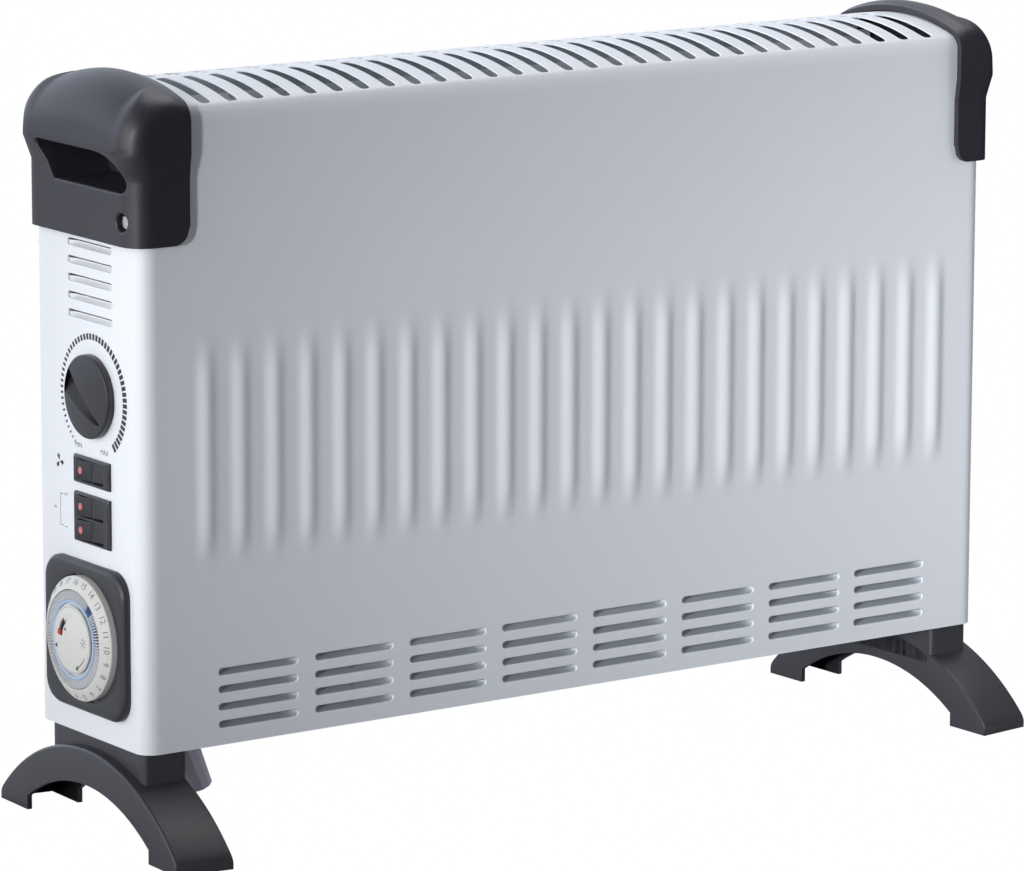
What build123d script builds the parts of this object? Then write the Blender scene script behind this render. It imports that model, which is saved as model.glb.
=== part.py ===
"""Free-standing convector heater with fan, thermostat and segment timer.

Axes: +X to the right as seen from the front, +Y to the rear, +Z up, millimetres.
The origin is on the floor, midway between the outermost points of the two feet and of the two end caps.
A painted steel shell (front, top grille and both ends bent from one blank) is closed by a rear panel and a
base panel. Moulded caps with finger grips cover the upper corners and moulded arches carry it as feet.
The left end holds the controls: thermostat knob, fan rocker, two heat rockers and a 24 hour timer.
"""

import math
import os

from build123d import *

os.makedirs("parts", exist_ok=True)

# Casing: the driving sizes of the sheet metal body
body_length = 530.0
body_depth = 99.0
body_rise = 331.6  # from the underside of the body to the crown of the top grille
body_shift_back = -2.5  # middle of the body from the middle of the feet
sheet = 1.0
crown_radius = 140.0
top_bend_radius = 8.0
corner_bend_radius = 9.0
shoulder_flats = 3
crown_break_margin = 1.0
rear_corner_radius = 2.0
panel_gap = 0.3  # clearance round the rear, base and partition panels
flange_width = 10.0
end_panel_rise = 276.0  # height of the steel ends, above which the caps close the body
end_window_depth = 10.0

# Feet: moulded arches under both ends
foot_height = 52.0
foot_width = 31.0
foot_half_length = 91.0
foot_inset = 13.3  # middle of the arch from the end of the body
foot_toe_out = 2.0  # degrees that the front toe points outward
toe_slant = 3.0
arch_crown_rise = 45.0
arch_top_radius = 126.0
arch_under_rise = 26.5
arch_under_radius = 113.0
toe_length = 28.0
foot_wall = 2.6
foot_plate = 3.0
toe_pad = 2.0
column_depth = 86.0
column_step = 6.0  # outer face of the column behind the outer face of the arch
foot_window_width = 52.0
arch_flats = 60  # in a full turn

# End caps: moulded handles over the upper corners
cap_reach = 28.5  # from the end of the body to the inner edge of the flange
cap_rise = 255.5  # lower edge above the underside of the body
cap_stand_off = 3.5  # outer face of the lower part from the sheet
cap_wall = 2.6
cap_brow = 3.7  # how far the brow over the grip stands out past the lower part
cap_front_brow = 1.7
brow_rise = 303.0
brow_foot_rise = 289.0
cap_top_gap = 3.0
cap_swell = 2.2
cap_top_rounding = 24.0
cap_crest = 27.5  # highest line of a cap, in from its shoulder
cap_flats = 5  # of the rounding over the end
cap_corner_radius = 12.5
flange_corner_radius = 9.0
grip_depth = 26.0
grip_low_rise = 282.0
grip_high_rise = 300.5
grip_front = 5.0  # ends of the grip behind the front face of the body
grip_rear_low = 74.0
grip_rear_high = 86.0
grip_wall = 2.0
grip_flats = 4  # of the brow of the grip
rear_notch_radius = 6.5
rear_notch_rise = 290.5
cap_screw_back = 9.0
cap_screw_rise = 267.5
cap_screw_recess = 4.6
cap_seat_gap = 0.1

# Openings pressed and punched in the sheets
louvre_groups = 8
louvre_rows = 4
louvre_start = 43.5
louvre_group_pitch = 57.5
louvre_length = 47.0
louvre_opening = 3.6
louvre_end_lean = 0.8  # the upper edge of a louvre is shorter by this at each end
louvre_low_rise = 10.4
louvre_row_pitch = 9.0
louvre_blade_depth = 3.4
louvre_blade_sheet = 0.8
end_louvre_count = 5
end_louvre_front = 27.5
end_louvre_length = 42.0
end_louvre_top_rise = 250.2
grille_slot_count = 30
grille_slot_pitch = 15.62
grille_slot_width = 6.8
grille_slot_length = 37.0
grille_slot_start = 3.5
rib_count = 24
rib_pitch = 20.1
rib_width = 10.0
rib_crest = 3.0
rib_height = 1.7
rib_low_rise = 94.0
rib_high_rise = 207.0
rib_taper = 26.0

inlet_count = 8
inlet_pitch = 54.0
inlet_length = 42.0
inlet_width = 12.0
inlet_row_gap = 40.0

# Controls on the left end, measured back from the front face and up from the underside of the body
knob_back = 46.5
knob_rise = 175.0
knob_radius = 21.1
knob_rim = 3.8
knob_dome = 1.6
knob_face_radius = 14.0
knob_gap = 0.4
knob_hub_radius = 5.0
knob_hub_length = 6.0
scoop_depth = 3.2
scoop_width = 10.0
scoop_length = 34.0
scoop_floor_width = 4.5
blade_width = 3.0
blade_angle = 40.0  # lean of the finger blade from upright
shaft_radius = 3.0
shaft_clearance = 0.05
shaft_length = 22.0
shaft_entry = 0.5  # end of the shaft past the back of the knob's disc
thermostat_size = 30.0
thermostat_depth = 20.0
bracket_depth = 8.0
bracket_half_width = 24.0
bracket_height = 16.0
bracket_foot = 7.0
switch_back = 46.5
fan_switch_rise = 136.4
heat_switch_rise = 112.0
switch_bezel_length = 33.6
fan_bezel_height = 14.0
heat_bezel_height = 25.2
bezel_thickness = 2.2
window_length = 24.6
window_height = 10.9
window_divider = 1.2
switch_wall = 1.2
switch_body_inset = 0.4
switch_body_depth = 20.0
switch_cut_gap = 0.2
rocker_gap = 0.35
rocker_tilt = 11.0
rocker_thickness = 3.0
rocker_belly = 3.0
rocker_valley = 0.8
rocker_pivot_depth = 0.2
rocker_pin_radius = 1.2
rocker_pin_length = 0.5
pin_clearance = 0.05
pin_end_gap = 0.1
timer_back = 51.0
timer_rise = 51.5
timer_bezel_size = 76.5
timer_bezel_corner = 13.0
bezel_flats = 4  # of each corner
timer_bezel_bevel = 1.6
timer_bezel_thickness = 4.5
timer_well_radius = 32.6
timer_floor = 1.6
timer_floor_gap = 0.3
timer_hub_radius = 15.0
timer_hub_clearance = 0.06
dial_radius = 31.8
dial_edge_proud = 2.9
dial_cone_rise = 4.0
dial_cone_inner_radius = 25.4
dial_channel_floor = 4.6
dial_lip_depth = 0.6  # top of the slope behind the face of the centre disc
dial_inner_rim_radius = 19.0
tappet_count = 96
tappet_outer_radius = 24.9
tappet_inner_radius = 19.2
tappet_thickness = 0.7
centre_disc_radius = 17.6
centre_disc_thickness = 1.4
disc_gap = 0.4  # the turning ring below the fixed centre disc
timer_case_size = 58.0
timer_case_depth = 34.0
timer_cut_gap = 0.4
lever_travel = 30.0
lever_radius = 11.0
lever_slot_width = 3.4
lever_width = 2.6
lever_proud = 1.0
lever_lift = 0.15
lever_middle = 27.0  # degrees round the dial, from the rear upward
lever_end_angle = 10.0

# Inside: air path, element and fan
compartment_length = 124.0
partition_height = 262.0
heater_chamber_length = 331.0
shield_stand_off = 8.0
shield_low_rise = 22.0
shield_high_rise = 303.0
shield_lip = 9.0
element_length = 300.0
element_start = 12.0  # from the partition plate
element_height = 56.0
element_low_rise = 64.0
element_row_gap = 26.0
mica_sheet = 0.8
ribbon_sheet = 0.4
ribbon_width = 1.6
ribbon_periods = 9
ribbon_margin = 5.0
frame_sheet = 1.2
fan_rise = 60.0
fan_hole_radius = 38.0
fan_tip_radius = 36.0
fan_hub_radius = 9.0
fan_blades = 7
fan_blade_sheet = 1.2
fan_blade_pitch = 32.0
fan_depth = 12.0
fan_shaft_radius = 2.0
fan_shaft_length = 40.0
motor_length = 26.0
motor_size = 38.0
motor_bracket_reach = 14.0
motor_arm_width = 8.0
cutout_size = 14.0
cutout_height = 6.0
cutout_rise = 190.0
terminal_length = 42.0
terminal_height = 16.0
terminal_depth = 12.0
terminal_rise = 118.0
terminal_ways = 5
gland_flange_radius = 9.5
gland_bore = 3.5
gland_sides = 10
gland_tip_radius = 6.5
gland_root_radius = 8.5
gland_flange = 2.0
gland_length = 34.0
gland_lean = 24.0
gland_wall = 1.5
gland_neck = 4.0
gland_nut_radius = 9.0
gland_nut_height = 2.5
gland_inset = 43.0
gland_back = 40.0

# Fasteners
small_sides = 6  # flats that stand for the round of a screw or a screw hole
boss_sides = 12
dial_flats = 36  # flats round the knob and the timer dial
screw_head_radius = 3.4
screw_head_height = 1.8
screw_shank_radius = 1.6
screw_clearance = 0.1
screw_grip = 5.0
cap_screw_seat = 1.2
side_screw_rises = (12.0, 130.0, 245.0)
top_screw_spread = 150.0
foot_screw_spread = 50.0

# Places worked out from the sizes above
dial_proud = timer_bezel_thickness + dial_edge_proud + dial_cone_rise
cap_proud = cap_stand_off + cap_brow
body_shift_right = (dial_proud - cap_proud) / 2
left = -body_length / 2 + body_shift_right
right = body_length / 2 + body_shift_right
front = -body_depth / 2 + body_shift_back
rear = body_depth / 2 + body_shift_back
base = foot_height
crown = base + body_rise
shell_depth = body_depth - sheet
shell_rear = rear - sheet
middle = (front + shell_rear) / 2
centre = (left + right) / 2
end_top = base + end_panel_rise
partition = left + compartment_length
screw_hole = screw_shank_radius + screw_clearance
gland_x = left + gland_inset
gland_y = front + gland_back


def block(x0, x1, y0, y1, z0, z1):
    """Box between two corners."""
    centre = Pos((x0 + x1) / 2, (y0 + y1) / 2, (z0 + z1) / 2)
    return centre * Box(x1 - x0, y1 - y0, z1 - z0)


def along_x(sketch, x0, x1):
    """A sketch in Y and Z carried from x0 to x1."""
    return extrude(Plane.YZ.offset(x0) * sketch, amount=x1 - x0)


def along_y(sketch, y0, y1):
    """A sketch in X and Z carried from y0 to y1."""
    return extrude(Plane.XZ.offset(-y0) * sketch, amount=-(y1 - y0))


def along_z(sketch, z0, z1):
    """A sketch in X and Y carried from z0 to z1."""
    return extrude(Plane.XY.offset(z0) * sketch, amount=z1 - z0)


def round_section(radius, sides=0):
    """Circle, or with sides the regular polygon that stands for it on a small repeated piece."""
    return RegularPolygon(radius, sides) if sides else Circle(radius)


def clear_radius(radius, clearance, sides):
    """Size of a polygonal hole whose flats clear a bar of a given radius."""
    return (radius + clearance) / math.cos(math.pi / sides)


def rod_x(radius, x0, x1, y, z, sides=0):
    """Round bar parallel to X."""
    return along_x(Pos(y, z) * round_section(radius, sides), x0, x1)


def rod_y(radius, y0, y1, x, z, sides=0):
    """Round bar parallel to Y."""
    return along_y(Pos(x, z) * round_section(radius, sides), y0, y1)


def rod_z(radius, z0, z1, x, y, sides=0):
    """Round bar parallel to Z."""
    return along_z(Pos(x, y) * round_section(radius, sides), z0, z1)


def polygon(points):
    """Closed straight-sided face through points."""
    return make_face(Polyline(*points, close=True))


def corners(sketch, axis, count, from_end):
    """The first or last vertices of a sketch along an axis."""
    ordered = sketch.vertices().sort_by(axis)
    return ordered[-count:] if from_end else ordered[:count]


def turn_in_flats(before, corner, after, radius, flats):
    """Points that turn a corner in flats along an arc that touches both of its sides."""
    here = Vector(*corner)
    back = (Vector(*before) - here).normalized()
    ahead = (Vector(*after) - here).normalized()
    half_angle = math.radians(back.get_angle(ahead)) / 2
    middle_way = (back + ahead).normalized()
    hub = here + middle_way * (radius / math.sin(half_angle))
    touch = radius / math.tan(half_angle)
    start = here + back * touch - hub
    side = 1 if start.cross(here + ahead * touch - hub).Z > 0 else -1
    sweep = side * (180 - 2 * math.degrees(half_angle))
    arc = [hub + start.rotate(Axis.Z, sweep * n / flats) for n in range(flats + 1)]
    return [(point.X, point.Y) for point in arc]


def eased(points, radii, flats):
    """Closed face through points, with each corner that has a radius turned in flats."""
    outline = []
    for n, (corner, radius) in enumerate(zip(points, radii)):
        if radius > 0:
            outline += turn_in_flats(points[n - 1], corner, points[(n + 1) % len(points)], radius, flats)
        else:
            outline.append(corner)
    return polygon(outline)


def crowned(across, width, low, crest, radius, breaks, bend):
    """Section with upright sides, bent shoulders and an arched top that is laid in flats between the breaks."""
    def rise(out):
        return crest - radius + math.sqrt(radius**2 - out**2)

    half = width / 2
    top = [(across + out, rise(out)) for out in breaks]
    points = [(across - half, low), (across + half, low), (across + half, rise(half)), *top[::-1]]
    points.append((across - half, rise(half)))
    radii = [0, 0, bend] + [0] * len(top) + [bend]
    return eased(points, radii, shoulder_flats)


def crown_breaks():
    """Where the flats of the crown meet, from its middle: through the middles and past the inner ends of the slots."""
    slot_middle = shell_depth / 2 - grille_slot_start - grille_slot_length / 2
    slot_end = slot_middle - grille_slot_length / 2 - crown_break_margin
    return (-slot_middle, -slot_end, slot_end, slot_middle)


def louvre_slot(length):
    """Mouth of a louvre, centred on its own origin, with ends that lean in toward the upper edge."""
    half, side = length / 2, louvre_opening / 2
    return polygon([(-half, -side), (half, -side), (half - louvre_end_lean, side), (-half + louvre_end_lean, side)])


def side_profile(inset, z_low):
    """Section of the body across X: vertical sides under a crowned top, with bent shoulders."""
    return crowned(
        middle, shell_depth - 2 * inset, z_low, crown - inset, crown_radius - inset, crown_breaks(),
        top_bend_radius - inset,
    )


def plan_profile(inset):
    """Plan of the body: rounded front corners and nearly sharp rear ones."""
    outline = Pos(centre, middle) * Rectangle(body_length - 2 * inset, shell_depth - 2 * inset)
    outline = fillet(corners(outline, Axis.Y, 2, False), corner_bend_radius - inset)
    return fillet(corners(outline, Axis.Y, 2, True), max(rear_corner_radius - inset, 0.5))


def body_solid(inset, z_low, z_high):
    """The body's outer form drawn in by inset on every side."""
    across = along_x(side_profile(inset, z_low), left - 1, right + 1)
    upward = along_z(plan_profile(inset), z_low, z_high)
    return across & upward


def rib_solid(inset):
    """One upright rib: a low ridge with a flat crest, hipped at both ends."""
    half, crest, root = rib_width / 2, rib_crest / 2, sheet / 2
    low, high = base + rib_low_rise, base + rib_high_rise
    section = polygon(
        [(-half, root), (-half, 0), (-crest, -rib_height), (crest, -rib_height), (half, 0), (half, root)]
    )
    outline = polygon(
        [
            (root, low), (0, low), (-rib_height, low + rib_taper), (-rib_height, high - rib_taper), (0, high),
            (root, high),
        ]
    )
    ridge = along_z(section, low, high) & along_x(outline, -half, half)
    return Pos(0, front + inset, 0) * ridge


def louvre_places():
    """Middles of the louvres of one face, from the left end and from the underside."""
    for group in range(louvre_groups):
        x = left + louvre_start + louvre_group_pitch * group + louvre_length / 2
        for row in range(louvre_rows):
            yield x, base + louvre_low_rise + louvre_row_pitch * row


def make_front_shell():
    """Front, top grille and both ends as one bent sheet."""
    z_high = crown + 5
    ribs = [Pos(x, 0, 0) * rib_solid(0) for x in rib_places()]
    hollows = [Pos(x, 0, 0) * rib_solid(sheet) for x in rib_places()]
    skin = body_solid(0, base, z_high) + ribs
    skin -= body_solid(sheet, base - 1, z_high)
    skin -= hollows
    # The rear is open inside a flange that the rear panel lies on
    lowest = base - 1
    skin -= block(
        left + flange_width, right - flange_width, shell_rear - sheet - 0.5, rear + 1, lowest, rear_flange_low()
    )
    # The steel ends stop below the grips
    for x0, x1 in ((left - 1, left + end_window_depth), (right - end_window_depth, right + 1)):
        skin -= block(x0, x1, front - 5, rear + 5, end_top, z_high)
    # Louvres of the front, each with a blade pressed inward from its lower edge
    cutter = along_y(louvre_slot(louvre_length), front - 1, front + sheet + 0.1)
    skin -= [Pos(x, 0, z) * cutter for x, z in louvre_places()]
    blade = front_blade(louvre_length)
    skin += [Pos(x, 0, z) * blade for x, z in louvre_places()]
    # Grille slots in two rows, either side of the crown
    slot = Rectangle(grille_slot_width, grille_slot_length)
    row_middle = grille_slot_start + grille_slot_length / 2
    for y in (front + row_middle, 2 * middle - front - row_middle):
        punch = along_z(Pos(0, y) * slot, rear_flange_low() + flange_width, z_high)
        skin -= [Pos(x, 0, 0) * punch for x in grille_places()]
    # Louvres and control openings of the left end
    end_middle = front + end_louvre_front + end_louvre_length / 2
    end_slot = along_x(louvre_slot(end_louvre_length), left - 1, left + sheet + 0.1)
    end_blade = blade_profile_x(end_louvre_length)
    for row in range(end_louvre_count):
        place = Pos(0, end_middle, base + end_louvre_top_rise - louvre_row_pitch * row)
        skin -= place * end_slot
        skin += place * end_blade
    for cut in control_cuts():
        skin -= cut
    # Screw holes of the caps
    for x0, x1 in ((left - 1, left + sheet + 1), (right - sheet - 1, right + 1)):
        skin -= rod_x(screw_hole, x0, x1, front + cap_screw_back, base + cap_screw_rise, small_sides)
    # Screw holes of the rear flange
    for x, z in rear_screw_places():
        skin -= rod_y(screw_hole, shell_rear - 2 * sheet, rear + 1, x, z, small_sides)
    return skin


def rear_flange_low():
    """Lower edge of the flange at the top of the rear opening."""
    return base + body_rise - 2 * top_bend_radius - flange_width


def rib_places():
    """Middles of the upright ribs along X."""
    first = centre - rib_pitch * (rib_count - 1) / 2
    return [first + rib_pitch * n for n in range(rib_count)]


def grille_places():
    """Middles of the grille slots along X."""
    first = centre - grille_slot_pitch * (grille_slot_count - 1) / 2
    return [first + grille_slot_pitch * n for n in range(grille_slot_count)]


def blade_outline():
    """Section of a louvre blade: it leans inward from the lower edge of its slot to the upper one."""
    half = louvre_opening / 2
    thick = louvre_blade_sheet
    return [(0, -half), (sheet, -half - thick), (louvre_blade_depth, half - thick), (louvre_blade_depth, half)]


def front_blade(length):
    """Blade of a front louvre."""
    return along_x(polygon([(front + inward, up) for inward, up in blade_outline()]), -length / 2, length / 2)


def blade_profile_x(length):
    """Blade of an end louvre."""
    return along_y(polygon([(left + inward, up) for inward, up in blade_outline()]), -length / 2, length / 2)


def rear_screw_places():
    """Screws round the rear panel."""
    inset = flange_width / 2
    for x in (left + inset, right - inset):
        for rise in side_screw_rises:
            yield x, base + rise
    for x in (centre - top_screw_spread, centre, centre + top_screw_spread):
        yield x, rear_flange_low() + inset


def control_cuts():
    """Openings in the left end behind the knob, the switches and the timer."""
    x0, x1 = left - 1, left + sheet + 1
    yield rod_x(knob_hub_radius + 1, x0, x1, front + knob_back, base + knob_rise, boss_sides)
    for rise, height in switch_rows():
        y, z = front + switch_back, base + rise
        half = window_length / 2 + switch_wall + switch_cut_gap
        up = height / 2 - switch_body_inset + switch_cut_gap
        yield block(x0, x1, y - half, y + half, z - up, z + up)
    half = timer_case_size / 2 + timer_cut_gap
    y, z = front + timer_back, base + timer_rise
    yield block(x0, x1, y - half, y + half, z - half, z + half)


def switch_rows():
    """Height of each switch above the underside of the body, with the height of its bezel."""
    return ((fan_switch_rise, fan_bezel_height), (heat_switch_rise, heat_bezel_height))


def make_rear_panel():
    """Flat rear sheet with the same louvre rows as the front."""
    panel = block(left + sheet, right - sheet, shell_rear, rear, base, base + body_rise - 2 * top_bend_radius)
    cutter = along_y(louvre_slot(louvre_length), shell_rear - 0.5, rear + 1)
    panel -= [Pos(x, 0, z) * cutter for x, z in louvre_places()]
    panel -= [rod_y(screw_hole, shell_rear - 1, rear + 1, x, z, small_sides) for x, z in rear_screw_places()]
    return panel


def make_rear_screws():
    """Pan head screws round the rear panel."""
    return [
        rod_y(screw_head_radius, rear, rear + screw_head_height, x, z, small_sides)
        + rod_y(screw_shank_radius, rear - screw_grip - sheet, rear, x, z, small_sides)
        for x, z in rear_screw_places()
    ]


def make_base_panel():
    """Floor of the body: a tray with air inlets and upturned edges."""
    inset = sheet + panel_gap
    x0, x1 = left + inset, right - inset
    y0, y1 = front + inset, shell_rear - inset
    plan = Pos((x0 + x1) / 2, (y0 + y1) / 2) * Rectangle(x1 - x0, y1 - y0)
    plan = fillet(corners(plan, Axis.Y, 2, False), corner_bend_radius - inset)
    plan = fillet(corners(plan, Axis.Y, 2, True), rear_corner_radius)
    tray = along_z(plan, base, base + sheet)
    for y in (y0, y1 - sheet):
        tray += block(x0 + flange_width, x1 - flange_width, y, y + sheet, base, base + flange_width - 4)
    inlet = Box(inlet_length, inlet_width, 4 * sheet)
    for n in range(inlet_count):
        x = centre + (n - (inlet_count - 1) / 2) * inlet_pitch
        for y in (middle - inlet_row_gap / 2, middle + inlet_row_gap / 2):
            tray -= Pos(x, y, base) * inlet
    for place in foot_screw_places():
        tray -= place * rod_z(screw_hole, -sheet, 2 * sheet, 0, 0, small_sides)
    tray -= rod_z(gland_bore + gland_wall, base - sheet, base + 2 * sheet, gland_x, gland_y, gland_sides)
    return tray


def foot_place(side):
    """Where a foot stands: side -1 is the left one, +1 the right one, each with its toe turned out."""
    edge = left if side < 0 else right
    return Pos(edge - side * foot_inset, 0, 0) * Rot(0, 0, side * foot_toe_out)


def foot_screw_places():
    """The four screws that hold the feet, at the level of the base panel."""
    for side in (-1, 1):
        for y in (-foot_screw_spread / 2, foot_screw_spread / 2):
            yield foot_place(side) * Pos(-side * column_step / 2, y, base)


def arch_disc(radius, top_rise):
    """Disc in flats whose highest point is at top_rise above the floor."""
    return Pos(0, top_rise - radius) * RegularPolygon(radius, arch_flats)


def make_left_foot():
    """Arched foot: a hollow shell with closed toes, open below, and a hollow column under the body."""
    half = foot_half_length + toe_slant
    wide = foot_width / 2
    arch = Pos(0, arch_crown_rise / 2) * Rectangle(2 * half, arch_crown_rise) & arch_disc(
        arch_top_radius, arch_crown_rise
    )
    opening = half - toe_slant - toe_length
    arch -= Rectangle(2 * opening, 2 * arch_crown_rise) & arch_disc(arch_under_radius, arch_under_rise)
    shell = along_x(arch, -wide, wide)
    slant = toe_slant / 2
    plan = polygon(
        [
            (-wide, -foot_half_length + slant), (wide, -foot_half_length - slant),
            (wide, foot_half_length - slant), (-wide, foot_half_length + slant),
        ]
    )
    shell &= along_z(plan, -1, foot_height + 1)
    column_x0, column_x1 = -wide + column_step, wide
    half_depth = column_depth / 2
    shell += block(column_x0, column_x1, -half_depth, half_depth, arch_under_rise + 4, base)
    # Hollow from below, with pads under the toes
    hollow_half = foot_half_length - slant - foot_wall
    hollow = Pos(0, arch_crown_rise / 2) * Rectangle(2 * hollow_half, arch_crown_rise + 2) & arch_disc(
        arch_top_radius - foot_wall, arch_crown_rise - foot_wall
    )
    inside = along_x(hollow, -wide + foot_wall, wide - foot_wall)
    for y0, y1 in ((-half, -opening), (opening, half)):
        inside -= block(-wide, wide, y0, y1, -1, toe_pad)
    shell -= inside
    shell -= block(
        column_x0 + foot_wall, column_x1 - foot_wall, -half_depth + foot_wall, half_depth - foot_wall, 1,
        base - foot_plate,
    )
    # The inner side is open below the body, where the screwdriver goes in
    window = foot_window_width / 2
    shell -= block(wide - foot_wall - 1, wide + 1, -window, window, arch_under_rise / 2, base - foot_plate)
    for y in (-foot_screw_spread / 2, foot_screw_spread / 2):
        shell -= rod_z(screw_hole, base - 2 * foot_plate, base + 1, column_step / 2, y, small_sides)
    return foot_place(-1) * shell


def mirrored(solid):
    """The same piece for the other end of the body."""
    return mirror(solid, about=Plane.YZ.offset(centre))


def make_foot_screws():
    """Screws from inside each column up into the base panel."""
    screw = rod_z(screw_head_radius, -foot_plate - screw_head_height, -foot_plate, 0, 0, small_sides)
    screw += rod_z(screw_shank_radius, -foot_plate, screw_grip, 0, 0, small_sides)
    return [place * screw for place in foot_screw_places()]


def cap_side(inset):
    """Section of a cap across X: crowned top, shoulders standing out over the grip, straight skirt below."""
    skirt = cap_stand_off - inset
    brow = skirt + cap_front_brow
    low, high = base + cap_rise - 1, crown + cap_top_gap + cap_swell - inset
    cap_middle = (front + rear) / 2
    half = body_depth / 2
    outline = crowned(
        cap_middle, 2 * (half + brow), low, high, crown_radius + cap_top_gap - inset, crown_breaks(),
        top_bend_radius + cap_stand_off - inset,
    )
    for side in (-1, 1):
        beyond = cap_middle + side * (half + brow + 1)
        undercut = [
            (beyond, low - 1), (beyond, base + brow_rise), (cap_middle + side * (half + brow), base + brow_rise),
            (cap_middle + side * (half + skirt), base + brow_foot_rise), (cap_middle + side * (half + skirt), low - 1),
        ]
        outline -= polygon(undercut)
    return outline


def cap_end(inset):
    """Section of the left cap across Y: a brow over the grip, then a large rounding into the top."""
    skirt = left - cap_stand_off + inset
    brow = skirt - cap_brow
    shoulder = skirt - cap_brow / 3
    high = crown + cap_top_gap + cap_swell - inset
    low = base + cap_rise - 1
    reach = left + cap_reach
    points = [
        (reach, high - cap_swell), (shoulder + cap_crest, high), (shoulder, high), (brow, base + brow_rise),
        (skirt, base + brow_foot_rise), (skirt, low), (reach, low),
    ]
    return eased(points, [0, 0, cap_top_rounding - inset, 0, 0, 0, 0], cap_flats)


def cap_plan(inset):
    """Plan of the left cap: rounded at the end of the body, open toward its middle."""
    x0 = left - cap_stand_off - cap_brow + inset
    reach = left + cap_reach
    half = (rear - front) / 2 + cap_stand_off + cap_front_brow - inset
    y0, y1 = (front + rear) / 2 - half, (front + rear) / 2 + half
    turn = cap_corner_radius - inset
    return eased([(x0, y0), (reach, y0), (reach, y1), (x0, y1)], [turn, 0, 0, turn], shoulder_flats)


def cap_form(inset):
    """Outer form of the left cap, drawn in by inset."""
    reach = 2 * (crown - base)
    across = along_x(cap_side(inset), left - 20, left + cap_reach)
    lengthwise = along_y(cap_end(inset), front - 20, rear + 20)
    upward = along_z(cap_plan(inset), base, base + reach)
    return across & lengthwise & upward


def grip_outline():
    """Outline of the finger grip, from behind the front face and above the underside of the body."""
    def point(back, rise):
        return (front + back, base + rise)

    low, high = grip_low_rise, grip_high_rise
    edge = grip_front
    nose = ThreePointArc(point(edge + 4, low), point(edge + 0.6, low + 2.4), point(edge, low + 6))
    brow = ThreePointArc(point(edge, low + 6), point(edge + 8, high - 4.5), point(edge + 25, high))
    outline = [nose @ 0, nose @ 0.5, *[brow @ (n / grip_flats) for n in range(grip_flats + 1)]]
    outline = [(place.X, place.Y) for place in outline]
    return polygon([*outline, point(grip_rear_high, high), point(grip_rear_low, low)])


def make_left_cap():
    """Moulded cap that closes the upper corner of the body and gives a grip to carry it by."""
    low = base + cap_rise
    outer = cap_form(0)
    cap = outer - cap_form(cap_wall)
    wall = offset(grip_outline(), amount=grip_wall, kind=Kind.INTERSECTION)
    pocket = along_x(wall, left - 20, left + grip_depth + grip_wall)
    cap += pocket & outer
    cap -= along_x(grip_outline(), left - 20, left + grip_depth)
    # Rounded lower corners of the front and rear flanges
    trim = Pos(left + cap_reach - flange_corner_radius, low + flange_corner_radius) * RegularPolygon(
        flange_corner_radius, 4 * shoulder_flats
    )
    corner = Pos(left + cap_reach - flange_corner_radius / 2, low + flange_corner_radius / 2) * Rectangle(
        flange_corner_radius, flange_corner_radius
    )
    below = Pos(left, low - 5) * Rectangle(4 * cap_reach, 10)
    cap -= along_y(corner - trim + below, front - 20, rear + 20)
    # Small finger notch at the rear corner
    notch = Pos(left + 2, base + rear_notch_rise) * RegularPolygon(rear_notch_radius, boss_sides)
    cap -= along_y(notch, rear - 2, rear + 20)
    # Recess and seat of the cap screw
    y, z = front + cap_screw_back, base + cap_screw_rise
    seat = left - cap_seat_gap
    cap += rod_x(cap_screw_recess + 1.4, left - cap_stand_off + 0.4, seat, y, z, boss_sides)
    cap -= rod_x(cap_screw_recess, left - 20, seat - cap_screw_seat, y, z, boss_sides)
    cap -= rod_x(screw_hole, left - 20, left + 1, y, z, small_sides)
    return cap


def make_cap_screws():
    """One recessed screw through each cap into the steel end."""
    y, z = front + cap_screw_back, base + cap_screw_rise
    seat = left - cap_seat_gap - cap_screw_seat
    screw = rod_x(screw_head_radius, seat - screw_head_height, seat, y, z, small_sides)
    screw += rod_x(screw_shank_radius, seat, left + screw_grip, y, z, small_sides)
    return [screw, mirrored(screw)]


def make_cord_gland():
    """Moulded sleeve under the body that guides the supply lead out, leaning toward the middle."""
    flange = rod_z(gland_flange_radius, -gland_flange, 0, 0, 0, gland_sides)
    narrowing = math.degrees(math.atan((gland_root_radius - gland_tip_radius) / gland_length))
    sleeve = extrude(RegularPolygon(gland_root_radius, gland_sides), amount=gland_length, taper=narrowing)
    lean = Rot(180, 0, 0) * Rot(0, gland_lean, 0)
    below = Pos(0, 0, -gland_length) * Box(4 * gland_length, 4 * gland_length, 2 * gland_length)
    neck = rod_z(gland_bore + gland_wall - screw_clearance, 0, gland_neck, 0, 0, gland_sides)
    core = lean * rod_z(gland_bore, -1, gland_length + 1, 0, 0, small_sides)
    core += rod_z(gland_bore, -gland_flange, gland_neck + 1, 0, 0, small_sides)
    return Pos(gland_x, gland_y, base) * (flange + (lean * sleeve & below) + neck - core)


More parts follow.
